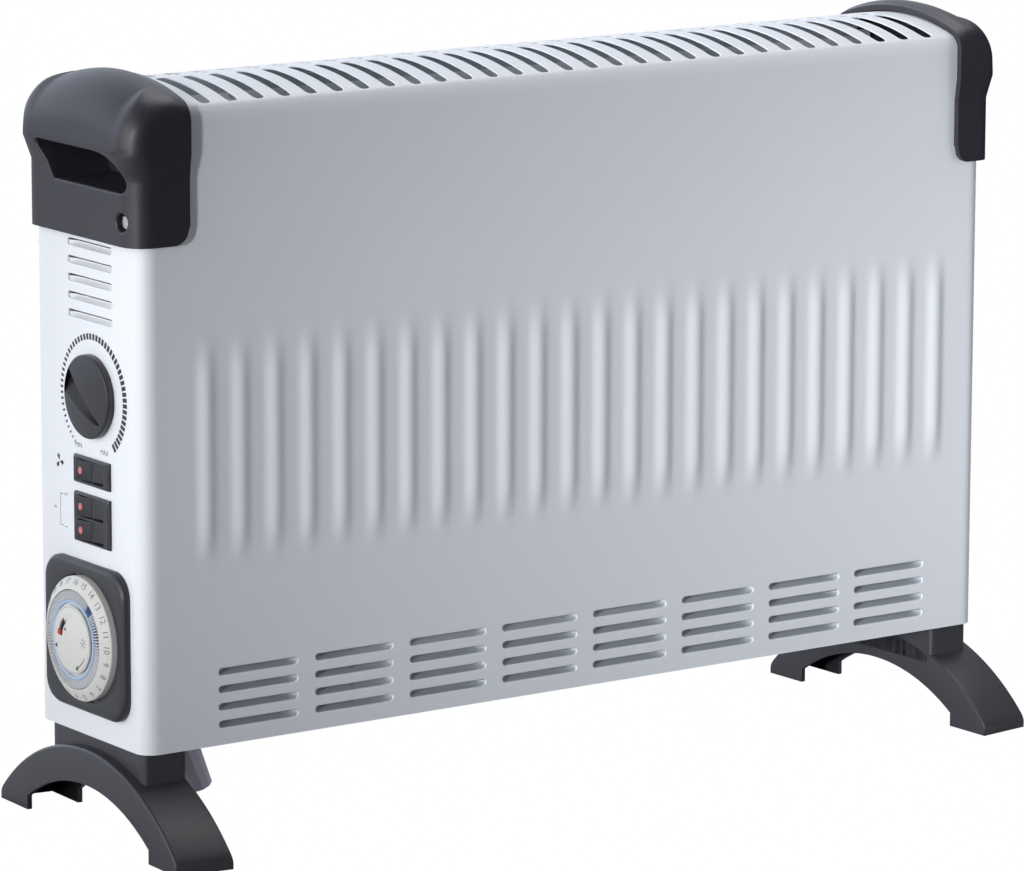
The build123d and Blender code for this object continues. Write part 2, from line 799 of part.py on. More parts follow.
def make_knob():
    """Round knob with a domed face, two finger scoops that leave a blade, and a hub through the panel."""
    top = knob_rim + knob_dome
    lean = math.degrees(math.atan((knob_radius - knob_face_radius) / knob_dome))
    rim = RegularPolygon(knob_radius, dial_flats)
    knob = extrude(rim, amount=knob_rim) + extrude(Pos(0, 0, knob_rim) * rim, amount=knob_dome, taper=lean)
    knob += rod_z(knob_hub_radius, -knob_hub_length, 0, 0, 0, boss_sides)
    # Scoops: D-shaped in plan, upright along the blade, with a floor that slopes up to the rim
    chord = scoop_length / 2
    mouth = (chord**2 + scoop_width**2) / (2 * scoop_width)
    slant = (scoop_width - scoop_floor_width) / scoop_depth
    plan = extrude(RegularPolygon(mouth, dial_flats), amount=2 * top)
    for side in (-1, 1):
        face = side * blade_width / 2
        section = [
            (face, 2 * top), (face, top - scoop_depth), (face + side * scoop_floor_width, top - scoop_depth),
            (face + side * (scoop_width + slant * top), 2 * top),
        ]
        knob -= along_x(polygon(section), -chord, chord) & Pos(0, face + side * (scoop_width - mouth), 0) * plan
    bore = knob_hub_length + shaft_entry + 0.2
    hole = clear_radius(shaft_radius, shaft_clearance, boss_sides)
    knob -= rod_z(hole, -knob_hub_length, bore - knob_hub_length, 0, 0, boss_sides)
    y, z = front + knob_back, base + knob_rise
    return Pos(left - knob_gap, y, z) * Rot(-blade_angle, 0, 0) * Rot(0, -90, 0) * knob


def make_thermostat():
    """Switch box of the thermostat on its bracket, and the shaft that the knob turns."""
    y, z = front + knob_back, base + knob_rise
    inner = left + sheet
    plate_x = inner + bracket_depth
    half, up = bracket_half_width, bracket_height / 2
    bracket = block(plate_x - sheet, plate_x, y - half, y + half, z - up, z + up)
    for side in (-1, 1):
        y0, y1 = sorted((y + side * half, y + side * (half - sheet)))
        bracket += block(inner, plate_x, y0, y1, z - up, z + up)
        y0, y1 = sorted((y + side * (half - sheet), y + side * (half - bracket_foot)))
        bracket += block(inner, inner + sheet, y0, y1, z - up, z + up)
    bracket -= rod_x(shaft_radius + 1, inner - 1, plate_x + 1, y, z, boss_sides)
    size = thermostat_size / 2
    body = block(plate_x, plate_x + thermostat_depth, y - size, y + size, z - size, z + size)
    shaft_start = left - knob_gap - shaft_entry
    shaft = rod_x(shaft_radius, shaft_start, shaft_start + shaft_length, y, z)
    hole = clear_radius(shaft_radius, shaft_clearance, boss_sides)
    body -= rod_x(hole, plate_x - 1, shaft_start + shaft_length + 0.5, y, z, boss_sides)
    return bracket, body, shaft


def window_rises(count):
    """Middles of the rocker windows of a switch, from the middle of its bezel."""
    pitch = window_height + window_divider
    return [pitch * (n - (count - 1) / 2) for n in range(count)]


def make_switch_housing(rise, bezel_height, count):
    """Bezel and body of a rocker switch, with a well and pin bores for each rocker."""
    y, z = front + switch_back, base + rise
    half, up = switch_bezel_length / 2, bezel_height / 2
    bezel = block(left - bezel_thickness, left, y - half, y + half, z - up, z + up)
    bezel = chamfer(bezel.faces().sort_by(Axis.X)[0].edges(), 0.9)
    half = window_length / 2 + switch_wall
    up -= switch_body_inset
    housing = bezel + block(left - 0.1, left + switch_body_depth, y - half, y + half, z - up, z + up)
    half = window_length / 2
    pivot = left - rocker_pivot_depth
    for offset_z in window_rises(count):
        low = z + offset_z - window_height / 2
        well = block(
            left - bezel_thickness - 1, pivot + rocker_belly + rocker_thickness + 1, y - half, y + half, low,
            low + window_height,
        )
        housing -= well
        reach = rocker_pin_length + pin_end_gap
        hole = clear_radius(rocker_pin_radius, pin_clearance, small_sides)
        housing -= rod_z(hole, low - reach, low + window_height + reach, pivot, y, small_sides)
    return housing


def make_rocker(rise, offset_z):
    """Rocker with a shallow valley across its face, tilted as it rests, with its two pivot pins."""
    y, z = front + switch_back, base + rise + offset_z
    half = window_length / 2 - rocker_gap - 0.1
    thick, belly = rocker_thickness, rocker_belly
    top, low = thick / 2, -thick / 2
    section = polygon(
        [
            (-half, top), (0, top - rocker_valley), (half, top), (half, low), (half * 0.45, low - belly),
            (-half * 0.45, low - belly), (-half, low),
        ]
    )
    up = window_height / 2 - rocker_gap
    rocker = along_z(section, -up, up)
    pin = window_height / 2 + rocker_pin_length - 0.1
    rocker += rod_z(rocker_pin_radius, -pin, pin, 0, 0, small_sides)
    # Local X of the section runs along the body's depth and local Y points out of the end panel
    place = Pos(left - rocker_pivot_depth, y, z) * Rot(0, 0, 90 + rocker_tilt)
    return place * rocker


def dial_ring(outer, inner, low, high, taper=0):
    """Ring in flats about the timer's axis, between two distances out of the end panel."""
    solid = extrude(Pos(0, 0, low) * RegularPolygon(outer, dial_flats), amount=high - low, taper=taper)
    if inner:
        solid -= extrude(Pos(0, 0, low) * RegularPolygon(inner, dial_flats), amount=high - low)
    return solid


def timer_frame():
    """Frame of the timer: its own Z axis points out of the left end."""
    return Pos(left, front + timer_back, base + timer_rise) * Rot(0, -90, 0)


def make_timer():
    """Timer parts: bezel, case with hub, number ring, tappets, centre disc and override lever."""
    y, z = front + timer_back, base + timer_rise
    size = timer_bezel_size
    thick = timer_bezel_thickness
    flank, turn = size / 2, timer_bezel_corner
    square = [(y - flank, z - flank), (y + flank, z - flank), (y + flank, z + flank), (y - flank, z + flank)]
    bezel = along_x(eased(square, [turn] * 4, bezel_flats), left - thick, left)
    bezel = chamfer(bezel.faces().sort_by(Axis.X)[0].edges(), timer_bezel_bevel)
    well = timer_frame() * dial_ring(timer_well_radius, 0, -1, thick + 1)
    bezel -= well
    half = timer_case_size / 2
    case = block(left, left + timer_case_depth, y - half, y + half, z - half, z + half)
    case += timer_frame() * dial_ring(timer_well_radius - timer_floor_gap, 0, 0, timer_floor)
    face = dial_proud
    disc_back = face - centre_disc_thickness
    case += timer_frame() * dial_ring(timer_hub_radius, 0, 0, disc_back)
    # Number ring: flat outer edge, slope up to the tappets, channel and inner rim
    edge = thick + dial_edge_proud
    low = timer_floor + timer_floor_gap
    bore = clear_radius(timer_hub_radius, timer_hub_clearance, dial_flats)
    cone_top = face - dial_lip_depth
    lean = math.degrees(math.atan((dial_radius - dial_cone_inner_radius) / (cone_top - edge)))
    ring = dial_ring(dial_radius, 0, low, edge) + dial_ring(dial_radius, 0, edge, cone_top, lean)
    ring -= dial_ring(dial_cone_inner_radius, dial_inner_rim_radius, dial_channel_floor, face)
    ring -= dial_ring(dial_inner_rim_radius, 0, disc_back - disc_gap, face)
    ring -= dial_ring(bore, 0, low - 1, face)
    ring = timer_frame() * ring
    # Tappets: thin upright wedges round the channel
    tall = face - dial_channel_floor
    wedge = polygon([(-tappet_thickness / 2, 0), (tappet_thickness / 2, 0), (0, tall)])
    tab = Pos(0, 0, dial_channel_floor) * along_x(wedge, tappet_inner_radius, tappet_outer_radius)
    tappets = [timer_frame() * Rot(0, 0, 360 * n / tappet_count) * tab for n in range(tappet_count)]
    # Centre disc with a curved slot for the override lever
    disc = timer_frame() * dial_ring(centre_disc_radius, 0, disc_back, face)
    pocket = lever_pocket(lever_slot_width / 2, lever_travel / 2 + lever_end_angle)
    disc -= pocket
    lever = lever_tab()
    return bezel, case, ring, tappets, disc, lever


def lever_pocket(half_width, half_angle):
    """Curved slot about the timer's axis, cut through the centre disc."""
    y, z = front + timer_back, base + timer_rise
    ring = RegularPolygon(lever_radius + half_width, dial_flats) - RegularPolygon(lever_radius - half_width, dial_flats)
    reach = 2 * centre_disc_radius
    wedge = polygon(
        [
            (0, 0), (reach * math.cos(math.radians(half_angle)), -reach * math.sin(math.radians(half_angle))),
            (reach * math.cos(math.radians(half_angle)), reach * math.sin(math.radians(half_angle))),
        ]
    )
    return along_x(Pos(y, z) * Rot(0, 0, lever_middle) * (ring & wedge), left - dial_proud - 1, left - timer_floor)


def lever_tab():
    """Override lever: a small pointer standing in the slot of the centre disc."""
    y, z = front + timer_back, base + timer_rise
    angle = lever_middle - lever_travel / 2
    tab = Pos(y, z) * Rot(0, 0, angle) * Pos(lever_radius, 0) * Rectangle(lever_width, lever_width)
    seat = left - dial_proud + centre_disc_thickness - lever_lift
    return along_x(tab, left - dial_proud - lever_proud, seat)


def make_partition():
    """Upright sheet between the controls and the heating chamber, with the fan's air hole."""
    inset = louvre_blade_depth + panel_gap
    plate = block(
        partition, partition + sheet, front + inset, shell_rear - inset, base + sheet, base + partition_height
    )
    plate += block(
        partition - flange_width, partition + sheet, front + inset + flange_width, shell_rear - inset - flange_width,
        base + sheet, base + 2 * sheet,
    )
    plate -= rod_x(fan_hole_radius, partition - 1, partition + sheet + 1, middle, base + fan_rise, 2 * boss_sides)
    for y, z in motor_arm_places():
        plate -= rod_x(screw_hole, partition - 1, partition + sheet + 1, y, z, small_sides)
    return plate


def motor_arm_places():
    """Fixing points of the motor bracket round the air hole."""
    reach = fan_hole_radius + 5
    for angle in (45, 135, 225, 315):
        yield (
            middle + reach * math.cos(math.radians(angle)),
            base + fan_rise + reach * math.sin(math.radians(angle)),
        )


def make_heat_shield():
    """Bright sheet behind the element, folded forward along its top edge."""
    y1 = shell_rear - sheet - shield_stand_off
    x0, x1 = partition + sheet + panel_gap, partition + heater_chamber_length
    low, high = base + shield_low_rise, base + shield_high_rise
    plate = block(x0, x1, y1 - sheet, y1, low, high)
    plate += block(x0, x1, y1 - shield_lip, y1, high - sheet, high)
    for x in (x0 + 30, (x0 + x1) / 2, x1 - 30):
        for z in (base + 40, base + 285):
            plate += block(x - 8, x + 8, y1 - 0.2, shell_rear - 0.0, z - 6, z + 6)
    return plate


def element_span():
    """First and last X of the element."""
    x0 = partition + sheet + element_start
    return x0, x0 + element_length


def mica_rows():
    """Depths of the two mica boards."""
    return (middle - element_row_gap / 2, middle + element_row_gap / 2)


def band(points, width):
    """Outline of a strip of even width that follows the points, mitred at the turns."""
    path = [Vector(*point) for point in points]
    ways = [(b - a).normalized() for a, b in zip(path, path[1:])]
    one_side, other_side = [], []
    for point, before, after in zip(path, ways[:1] + ways, ways + ways[-1:]):
        across = (before + after).normalized().rotate(Axis.Z, 90)
        reach = across * (width / 2 / across.dot(before.rotate(Axis.Z, 90)))
        one_side.append((point + reach).to_tuple()[:2])
        other_side.append((point - reach).to_tuple()[:2])
    return one_side + other_side[::-1]


def make_element():
    """Two mica boards on end posts, each wound with a flat resistance ribbon."""
    x0, x1 = element_span()
    low, high = base + element_low_rise, base + element_low_rise + element_height
    boards = [block(x0, x1, y - mica_sheet / 2, y + mica_sheet / 2, low, high) for y in mica_rows()]
    ribbons = []
    pitch = (element_length - 4 * ribbon_margin) / ribbon_periods
    for y, side in zip(mica_rows(), (-1, 1)):
        z_up, z_low = high - ribbon_margin, low + ribbon_margin
        x = x0 + 2 * ribbon_margin
        run = []
        for n in range(ribbon_periods):
            run += [(x + pitch * n, z_low), (x + pitch * (n + 0.25), z_up), (x + pitch * (n + 0.5), z_up)]
            run += [(x + pitch * (n + 0.75), z_low)]
        y0, y1 = sorted((y + side * mica_sheet / 2, y + side * (mica_sheet / 2 + ribbon_sheet)))
        ribbons.append(along_y(polygon(band(run, ribbon_width)), y0, y1))
    posts = []
    foot_y0, foot_y1 = mica_rows()[0] - 10, mica_rows()[1] + 10
    for x, turn in ((x0, -1), (x1, 1)):
        post_x0, post_x1 = sorted((x, x + turn * frame_sheet))
        post = block(post_x0, post_x1, foot_y0, foot_y1, base + sheet, high + 6)
        foot_x0, foot_x1 = sorted((x, x + turn * flange_width))
        post += block(foot_x0, foot_x1, foot_y0, foot_y1, base + sheet, base + 2 * sheet)
        posts.append(post)
    return boards, ribbons, posts


def make_gland_nut():
    """Six-sided nut that holds the gland from inside the body."""
    nut = RegularPolygon(gland_nut_radius, 6) - RegularPolygon(gland_bore + gland_wall, gland_sides)
    return Pos(gland_x, gland_y, 0) * along_z(nut, base + sheet, base + sheet + gland_nut_height)


def make_fan():
    """Motor with its four-armed bracket, shaft and bladed impeller in the partition's air hole."""
    y, z = middle, base + fan_rise
    face = partition
    plate_x = face - motor_bracket_reach
    half = motor_size / 2
    bracket = block(plate_x, plate_x + frame_sheet, y - half, y + half, z - half, z + half)
    bracket -= rod_x(fan_shaft_radius + 2, plate_x - 1, plate_x + 3, y, z, boss_sides)
    for arm_y, arm_z in motor_arm_places():
        side_y = 1 if arm_y > y else -1
        side_z = 1 if arm_z > z else -1
        arm = motor_arm_width / 2
        inner_y, inner_z = y + side_y * (half - arm), z + side_z * (half - arm)
        reach_y0, reach_y1 = sorted((inner_y - side_y * arm, arm_y + side_y * arm))
        bracket += block(plate_x, plate_x + frame_sheet, reach_y0, reach_y1, inner_z - arm, inner_z + arm)
        z0, z1 = sorted((inner_z - side_z * arm, arm_z + side_z * arm))
        y0, y1 = sorted((arm_y - arm, arm_y + arm))
        bracket += block(plate_x, plate_x + frame_sheet, y0, y1, z0, z1)
        end_y0, end_y1 = sorted((arm_y + side_y * arm, arm_y + side_y * (arm - frame_sheet)))
        bracket += block(plate_x, face, end_y0, end_y1, arm_z - arm, arm_z + arm)
        bracket += block(face - frame_sheet, face, y0, y1, arm_z - arm, arm_z + arm)
        bracket -= rod_x(screw_hole, face - 3, face + 1, arm_y, arm_z, small_sides)
    motor = block(plate_x - motor_length, plate_x, y - half, y + half, z - half, z + half)
    motor = chamfer(motor.edges().filter_by(Axis.X), 4)
    shaft_end = face + fan_depth / 2 + 2
    hole = clear_radius(fan_shaft_radius, shaft_clearance, boss_sides)
    motor -= rod_x(hole, shaft_end - fan_shaft_length - 0.5, plate_x + 1, y, z, boss_sides)
    shaft = rod_x(fan_shaft_radius, shaft_end - fan_shaft_length, shaft_end, y, z)
    x0 = face - fan_depth / 2 + sheet / 2
    x1 = x0 + fan_depth
    hub = rod_x(fan_hub_radius, x0, x1, y, z, 2 * fan_blades)
    blade = Pos(0, (fan_hub_radius + fan_tip_radius) / 2 - 0.5, 0) * Rot(0, fan_blade_pitch, 0) * Box(
        fan_blade_sheet, fan_tip_radius - fan_hub_radius, fan_depth * 1.15
    )
    middle_x = (x0 + x1) / 2
    for n in range(fan_blades):
        hub += Pos(middle_x, y, z) * Rot(360 * n / fan_blades, 0, 0) * Rot(0, 90, 0) * blade
    hub -= rod_x(hole, x0 - 1, shaft_end + 0.5, y, z, boss_sides)
    return bracket, motor, shaft, hub


def make_bracket_screws():
    """Screws that hold the motor bracket to the partition."""
    return [
        rod_x(screw_head_radius, partition + sheet, partition + sheet + screw_head_height, y, z, small_sides)
        + rod_x(screw_shank_radius, partition - screw_grip, partition + sheet, y, z, small_sides)
        for y, z in motor_arm_places()
    ]


def make_cutout():
    """Resetting overheat cutout clipped on the heat shield above the element, on its strap."""
    y1 = shell_rear - 2 * sheet - shield_stand_off
    x, z = sum(element_span()) / 2, base + cutout_rise
    half = cutout_size / 2
    body = rod_y(half, y1 - cutout_height - sheet, y1 - sheet, x, z, boss_sides)
    strap = block(x - 1.6 * half, x + 1.6 * half, y1 - sheet, y1, z - 3, z + 3)
    return body + strap


def make_terminal_block():
    """Terminal block on the compartment side of the partition, where the supply lead is wired."""
    x1 = partition
    z0 = base + terminal_rise
    strip = block(
        x1 - terminal_depth, x1, middle - terminal_length / 2, middle + terminal_length / 2, z0, z0 + terminal_height
    )
    pitch = terminal_length / terminal_ways
    for n in range(terminal_ways):
        y = middle - terminal_length / 2 + pitch * (n + 0.5)
        strip -= block(
            x1 - terminal_depth - 1, x1 - terminal_depth + 6, y - pitch * 0.3, y + pitch * 0.3, z0 + 3,
            z0 + terminal_height - 3,
        )
    return strip


def save(name, pieces):
    """Writes one node, a single solid or a group of separate ones."""
    if isinstance(pieces, (list, tuple)):
        pieces = Compound(children=list(pieces))
    export_step(pieces, f"parts/{name}.step")
    print(name)


left_foot = make_left_foot()
left_cap = make_left_cap()
bracket, thermostat, shaft = make_thermostat()
bezel, timer_case, number_ring, tappets, centre_disc, lever = make_timer()
boards, ribbons, posts = make_element()
motor_bracket, motor, fan_shaft, impeller = make_fan()
lower_offset, upper_offset = window_rises(2)

save("front_shell", make_front_shell())
save("rear_panel", make_rear_panel())
save("rear_panel_screws", make_rear_screws())
save("base_panel", make_base_panel())
save("left_foot", left_foot)
save("right_foot", mirrored(left_foot))
save("foot_screws", make_foot_screws())
save("left_end_cap", left_cap)
save("right_end_cap", mirrored(left_cap))
save("cap_screws", make_cap_screws())
save("cord_gland", make_cord_gland())
save("gland_nut", make_gland_nut())
save("thermostat_knob", make_knob())
save("thermostat_shaft", shaft)
save("thermostat_body", thermostat)
save("thermostat_bracket", bracket)
save("fan_switch_housing", make_switch_housing(fan_switch_rise, fan_bezel_height, 1))
save("fan_rocker", make_rocker(fan_switch_rise, 0))
save("heat_switch_housing", make_switch_housing(heat_switch_rise, heat_bezel_height, 2))
save("upper_heat_rocker", make_rocker(heat_switch_rise, upper_offset))
save("lower_heat_rocker", make_rocker(heat_switch_rise, lower_offset))
save("timer_bezel", bezel)
save("timer_case", timer_case)
save("timer_number_ring", number_ring)
save("timer_tappets", tappets)
save("timer_centre_disc", centre_disc)
save("timer_override_lever", lever)
save("partition_plate", make_partition())
save("heat_shield", make_heat_shield())
save("mica_boards", boards)
save("low_heat_ribbon", ribbons[0])
save("high_heat_ribbon", ribbons[1])
save("element_posts", posts)
save("motor_bracket", motor_bracket)
save("motor_bracket_screws", make_bracket_screws())
save("fan_motor", motor)
save("fan_shaft", fan_shaft)
save("fan_impeller", impeller)
save("overheat_cutout", make_cutout())
save("terminal_block", make_terminal_block())
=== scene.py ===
# %% [markdown]
# # A free-standing convector heater
#
# A convector heater is a sheet metal chimney. Cool room air enters through the louvres near the floor,
# passes an electric element inside, and leaves warm through the grille along the top. The real one is a
# box of folded and powder-coated steel on two moulded feet, with a moulded cap over each upper corner
# that doubles as a handle. One end carries the controls: a thermostat knob, three rocker switches and a
# 24 hour timer dial.
#
# The solids come from the CAD frame. This notebook dresses them: each cell below explains one step, then
# builds it. Every surface is a NumPy grid, a function of two parameters, so its shape can be read from a
# formula.

import math

import bmesh
import bpy
import numpy as np
from mathutils import Matrix, Vector


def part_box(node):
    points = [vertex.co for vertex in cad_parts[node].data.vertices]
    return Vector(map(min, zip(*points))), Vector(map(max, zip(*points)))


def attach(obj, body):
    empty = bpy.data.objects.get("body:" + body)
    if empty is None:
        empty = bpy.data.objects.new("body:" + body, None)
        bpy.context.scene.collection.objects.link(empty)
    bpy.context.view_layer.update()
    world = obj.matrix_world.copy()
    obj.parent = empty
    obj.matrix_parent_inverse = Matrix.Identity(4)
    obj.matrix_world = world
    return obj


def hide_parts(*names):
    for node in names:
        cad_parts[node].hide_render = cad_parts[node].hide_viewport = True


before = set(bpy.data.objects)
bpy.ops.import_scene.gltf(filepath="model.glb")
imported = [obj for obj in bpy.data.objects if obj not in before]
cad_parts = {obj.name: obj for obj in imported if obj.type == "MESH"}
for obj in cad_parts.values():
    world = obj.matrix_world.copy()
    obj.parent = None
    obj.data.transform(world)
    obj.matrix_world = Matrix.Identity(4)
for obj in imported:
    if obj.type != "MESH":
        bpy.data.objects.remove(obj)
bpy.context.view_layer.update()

# %% [markdown]
# ## One place to measure from
#
# A fitter measures a casing from its own corner. All sizes below are millimetres in the body frame: X to
# the right from the left end, Y to the rear from the front face, Z up from the underside of the steel.
# The CAD boxes give the corner's place, so that the dressing follows the solids.

# %% The body frame
MM = 0.001
SHEET = 1.0
BODY_DEPTH = 99.0
ROOF_PROUD = 0.2  # how far the drawn crown stands above the facets of the solid


def box_mm(node):
    """Lowest and highest corner of a CAD node in millimetres."""
    low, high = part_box(node)
    return np.array(low) / MM, np.array(high) / MM


shell_low, shell_high = box_mm("front_shell")
BODY_LENGTH = float(shell_high[0] - shell_low[0])
REAR = float(box_mm("rear_panel")[1][1])
CORNER = np.array([shell_low[0], REAR - BODY_DEPTH, shell_low[2]])
CROWN = float(shell_high[2] - shell_low[2]) + ROOF_PROUD
print("body", round(BODY_LENGTH, 1), "x", BODY_DEPTH, "x", round(CROWN, 1), "mm; corner at", CORNER.round(1))

# %% [markdown]
# ## Surfaces from grids
#
# A stamped or moulded surface is swept by two directions. A grid of points over them, joined in quads, is
# the whole mesh. The grid can close where it runs round, as on a turned part, which is its profile spun
# about an axis.

# %% Grids, arcs and turned parts


def grid(points, wrap_u=False, wrap_v=False):
    """Quads over an array of shape (u, v, 3): a face joins (i, j), (i+1, j), (i+1, j+1) and (i, j+1)."""
    rows, columns = points.shape[:2]
    index = np.arange(rows * columns).reshape(rows, columns)
    if wrap_u:
        index = np.vstack([index, index[:1]])
    if wrap_v:
        index = np.hstack([index, index[:, :1]])
    quads = np.stack([index[:-1, :-1], index[1:, :-1], index[1:, 1:], index[:-1, 1:]], axis=-1)
    return points.reshape(-1, 3), quads.reshape(-1, 4).tolist()


def smoothstep(low, high, value):
    """0 below low, 1 above high and 3t^2 - 2t^3 between."""
    t = np.clip((value - low) / (high - low), 0, 1)
    return t * t * (3 - 2 * t)


def toward(angle):
    """Unit way (cos a, sin a) for an angle in degrees."""
    return np.array([math.cos(math.radians(angle)), math.sin(math.radians(angle))])


def arc(centre, radius, start, end, count):
    """Points centre + radius (cos a, sin a) for angles from start to end, in degrees."""
    angle = np.radians(np.linspace(start, end, count))
    return np.column_stack([centre[0] + radius * np.cos(angle), centre[1] + radius * np.sin(angle)])


def run_along(line):
    """Length of a polyline up to each of its points."""
    return np.append(0, np.cumsum(np.linalg.norm(np.diff(line, axis=0), axis=1)))


def revolve(profile, segments=96):
    """Profile rows (radius, height) turned about Z: (r cos t, r sin t, h)."""
    turn = np.linspace(0, 2 * np.pi, segments, endpoint=False)[:, None]
    radius, height = np.asarray(profile, float).T
    points = np.stack([radius * np.cos(turn), radius * np.sin(turn), height + 0 * turn], axis=-1)
    return grid(points, wrap_u=True)


# %% [markdown]
# ## Pieces from surfaces
#
# A real part is one moulding or one blank, however many surfaces it shows. So a part's surfaces are
# joined in one mesh, welded along their seams, and only the edges that are sharper than an angle stay
# sharp. The piece then rides on the body that carries it, and stands in for the plain solid.

# %% Moving and joining


def turned(angle, place=(0, 0, 0)):
    """Matrix of a turn about Z in degrees, then a move: (x cos a - y sin a, x sin a + y cos a, z) + p."""
    (cosine, sine), matrix = toward(angle), np.identity(4)
    matrix[:2, :2] = [[cosine, -sine], [sine, cosine]]
    matrix[:3, 3] = place
    return matrix


def moved(part, matrix):
    """A part with its points multiplied by a 4 x 4 matrix."""
    points, faces = part
    return points @ matrix[:3, :3].T + matrix[:3, 3], faces


def build(name, parts, material, body="body", node=None, angle=35):
    """One mesh object, welded and shaded, from (points, faces) in millimetres from the body's corner."""
    points, faces, offset = [], [], 0
    for part_points, part_faces in parts:
        points.append(np.asarray(part_points, float))
        faces += [[index + offset for index in face] for face in part_faces]
        offset += len(part_points)
    mesh = bpy.data.meshes.new(name)
    mesh.from_pydata(((np.vstack(points) + CORNER) * MM).tolist(), [], faces)
    work = bmesh.new()
    work.from_mesh(mesh)
    bmesh.ops.remove_doubles(work, verts=work.verts, dist=1e-6)
    bmesh.ops.dissolve_degenerate(work, edges=work.edges, dist=1e-7)
    bmesh.ops.recalc_face_normals(work, faces=work.faces)
    work.to_mesh(mesh)
    work.free()
    mesh.shade_smooth()
    mesh.set_sharp_from_angle(angle=math.radians(angle))
    piece = bpy.data.objects.new(name, mesh)
    bpy.context.scene.collection.objects.link(piece)
    mesh.materials.append(material)
    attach(piece, body)
    if node:
        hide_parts(node)
    return piece


# %% [markdown]
# ## Sheets with holes
#
# A louvred panel is punched flat and then folded. The sheet here is made the same way: a rectangle of two
# coordinates, with windows left open in it, is placed in space by a function. Round each hole runs a ring
# of quads that starts as the window and ends as the hole's outline, and then rolls over the edge and into
# the sheet, which is what catches the light on a real punched edge.

# %% Windows and outlines
RINGS = (0.45, 0.8, 1.0)  # shares of the way from the window to the hole where a loop of points runs
ROLL_STEPS = 4


def window_ring(count_u, count_v):
    """Points round the square from -1 to 1, counter-clockwise from its lower left corner."""
    along_u, up_v = np.linspace(-1, 1, count_u + 1), np.linspace(-1, 1, count_v + 1)
    bottom = np.column_stack([along_u[:-1], np.full(count_u, -1.0)])
    right = np.column_stack([np.ones(count_v), up_v[:-1]])
    top = np.column_stack([along_u[::-1][:-1], np.ones(count_u)])
    left = np.column_stack([np.full(count_v, -1.0), up_v[::-1][:-1]])
    return np.vstack([bottom, right, top, left])


def rounded_hole(centre, half, radius):
    """Rounded outline: q on the box moves to c + r (q - c) / |q - c|, c being the nearest inner point."""
    def outline(ring):
        box = ring * half
        core = np.clip(box, -np.array(half) + radius, np.array(half) - radius)
        away = box - core
        length = np.maximum(np.linalg.norm(away, axis=1, keepdims=True), 1e-9)
        return np.array(centre) + core + radius * away / length
    return outline


def circle_like(outline, radius):
    """Circle whose points lie at the same angles as an outline's: r q / |q|."""
    return outline / np.linalg.norm(outline, axis=1, keepdims=True) * radius


def inset(outline, distance):
    """The closed outline drawn in by a distance along its own normals."""
    along = np.roll(outline, -1, axis=0) - np.roll(outline, 1, axis=0)
    normal = np.column_stack([-along[:, 1], along[:, 0]])
    normal /= np.maximum(np.linalg.norm(normal, axis=1, keepdims=True), 1e-9)
    return outline + normal * distance


def holed_sheet(us, vs, windows, place, roll=0.6, depth=SHEET):
    """Sheet over the grid us x vs with windows (i0, i1, j0, j1, outline), set by place(u, v, height)."""
    us, vs = np.asarray(us, float), np.asarray(vs, float)
    grid_u, grid_v = np.meshgrid(us, vs, indexing="ij")
    points = [place(grid_u.ravel(), grid_v.ravel(), np.zeros(grid_u.size))]
    index = np.arange(grid_u.size).reshape(grid_u.shape)
    quads = np.stack([index[:-1, :-1], index[1:, :-1], index[1:, 1:], index[:-1, 1:]], axis=-1)
    keep = np.ones(quads.shape[:2], bool)
    faces, offset = [], grid_u.size
    steps = np.radians(np.linspace(0, 90, ROLL_STEPS + 1))[1:]
    for i0, i1, j0, j1, outline in windows:
        keep[i0:i1, j0:j1] = False
        edge = np.concatenate([
            index[i0:i1, j0], index[i1, j0:j1],
            index[i0 + 1:i1 + 1, j1][::-1], index[i0, j0 + 1:j1 + 1][::-1],
        ])
        flat_edge = np.column_stack([grid_u.ravel()[edge], grid_v.ravel()[edge]])
        hole = outline(window_ring(i1 - i0, j1 - j0))
        widest = inset(hole, -roll)
        loops = [(flat_edge + (widest - flat_edge) * share, 0.0) for share in RINGS]
        loops += [(inset(widest, roll * math.sin(step)), roll * (math.cos(step) - 1)) for step in steps]
        loops.append((hole, -depth))
        before = edge
        for loop, height in loops:
            points.append(place(loop[:, 0], loop[:, 1], np.full(len(loop), height)))
            here = np.arange(offset, offset + len(loop))
            offset += len(loop)
            faces.append(np.stack([before, np.roll(before, -1), np.roll(here, -1), here], axis=-1))
            before = here
    kept = quads[keep].reshape(-1, 4)
    return np.vstack(points), np.vstack([kept, *faces]).tolist()


# %% [markdown]
# ### Grid lines where they are needed
#
# A punched edge needs close grid lines and the plain sheet between needs few. So the lines are set span
# by span, and a window is found again by the lines that lie nearest to its sides.

# %% Grid lines and windows
MARGIN = 1.5  # sheet between a hole and the sides of its window


def spaced(breaks, step):
    """Samples through every break, no further apart than step."""
    counts = [max(int(math.ceil((b - a) / step)), 1) for a, b in zip(breaks, breaks[1:])]
    runs = [np.linspace(a, b, count + 1)[:-1] for a, b, count in zip(breaks, breaks[1:], counts)]
    return np.append(np.concatenate(runs), breaks[-1])


def samples(low, high, spans, coarse, least=0.4):
    """Grid lines from low to high: spans (a, b, count) divided evenly, wide gaps filled at a coarse step."""
    lines = [np.linspace(a, b, count + 1) for a, b, count in spans]
    lines = np.sort(np.concatenate([[low, high], *lines]))
    lines = lines[np.append(True, np.diff(lines) > least)]
    lines[-1] = high
    return spaced(lines, coarse)


def nearest(lines, value):
    """Index of the grid line at a value."""
    return int(np.abs(np.asarray(lines) - value).argmin())


def window(us, vs, span_u, span_v, outline):
    """Window in the grid lines us x vs between the ends of two spans, with the outline of its hole."""
    return (*[nearest(us, u) for u in span_u], *[nearest(vs, v) for v in span_v], outline)


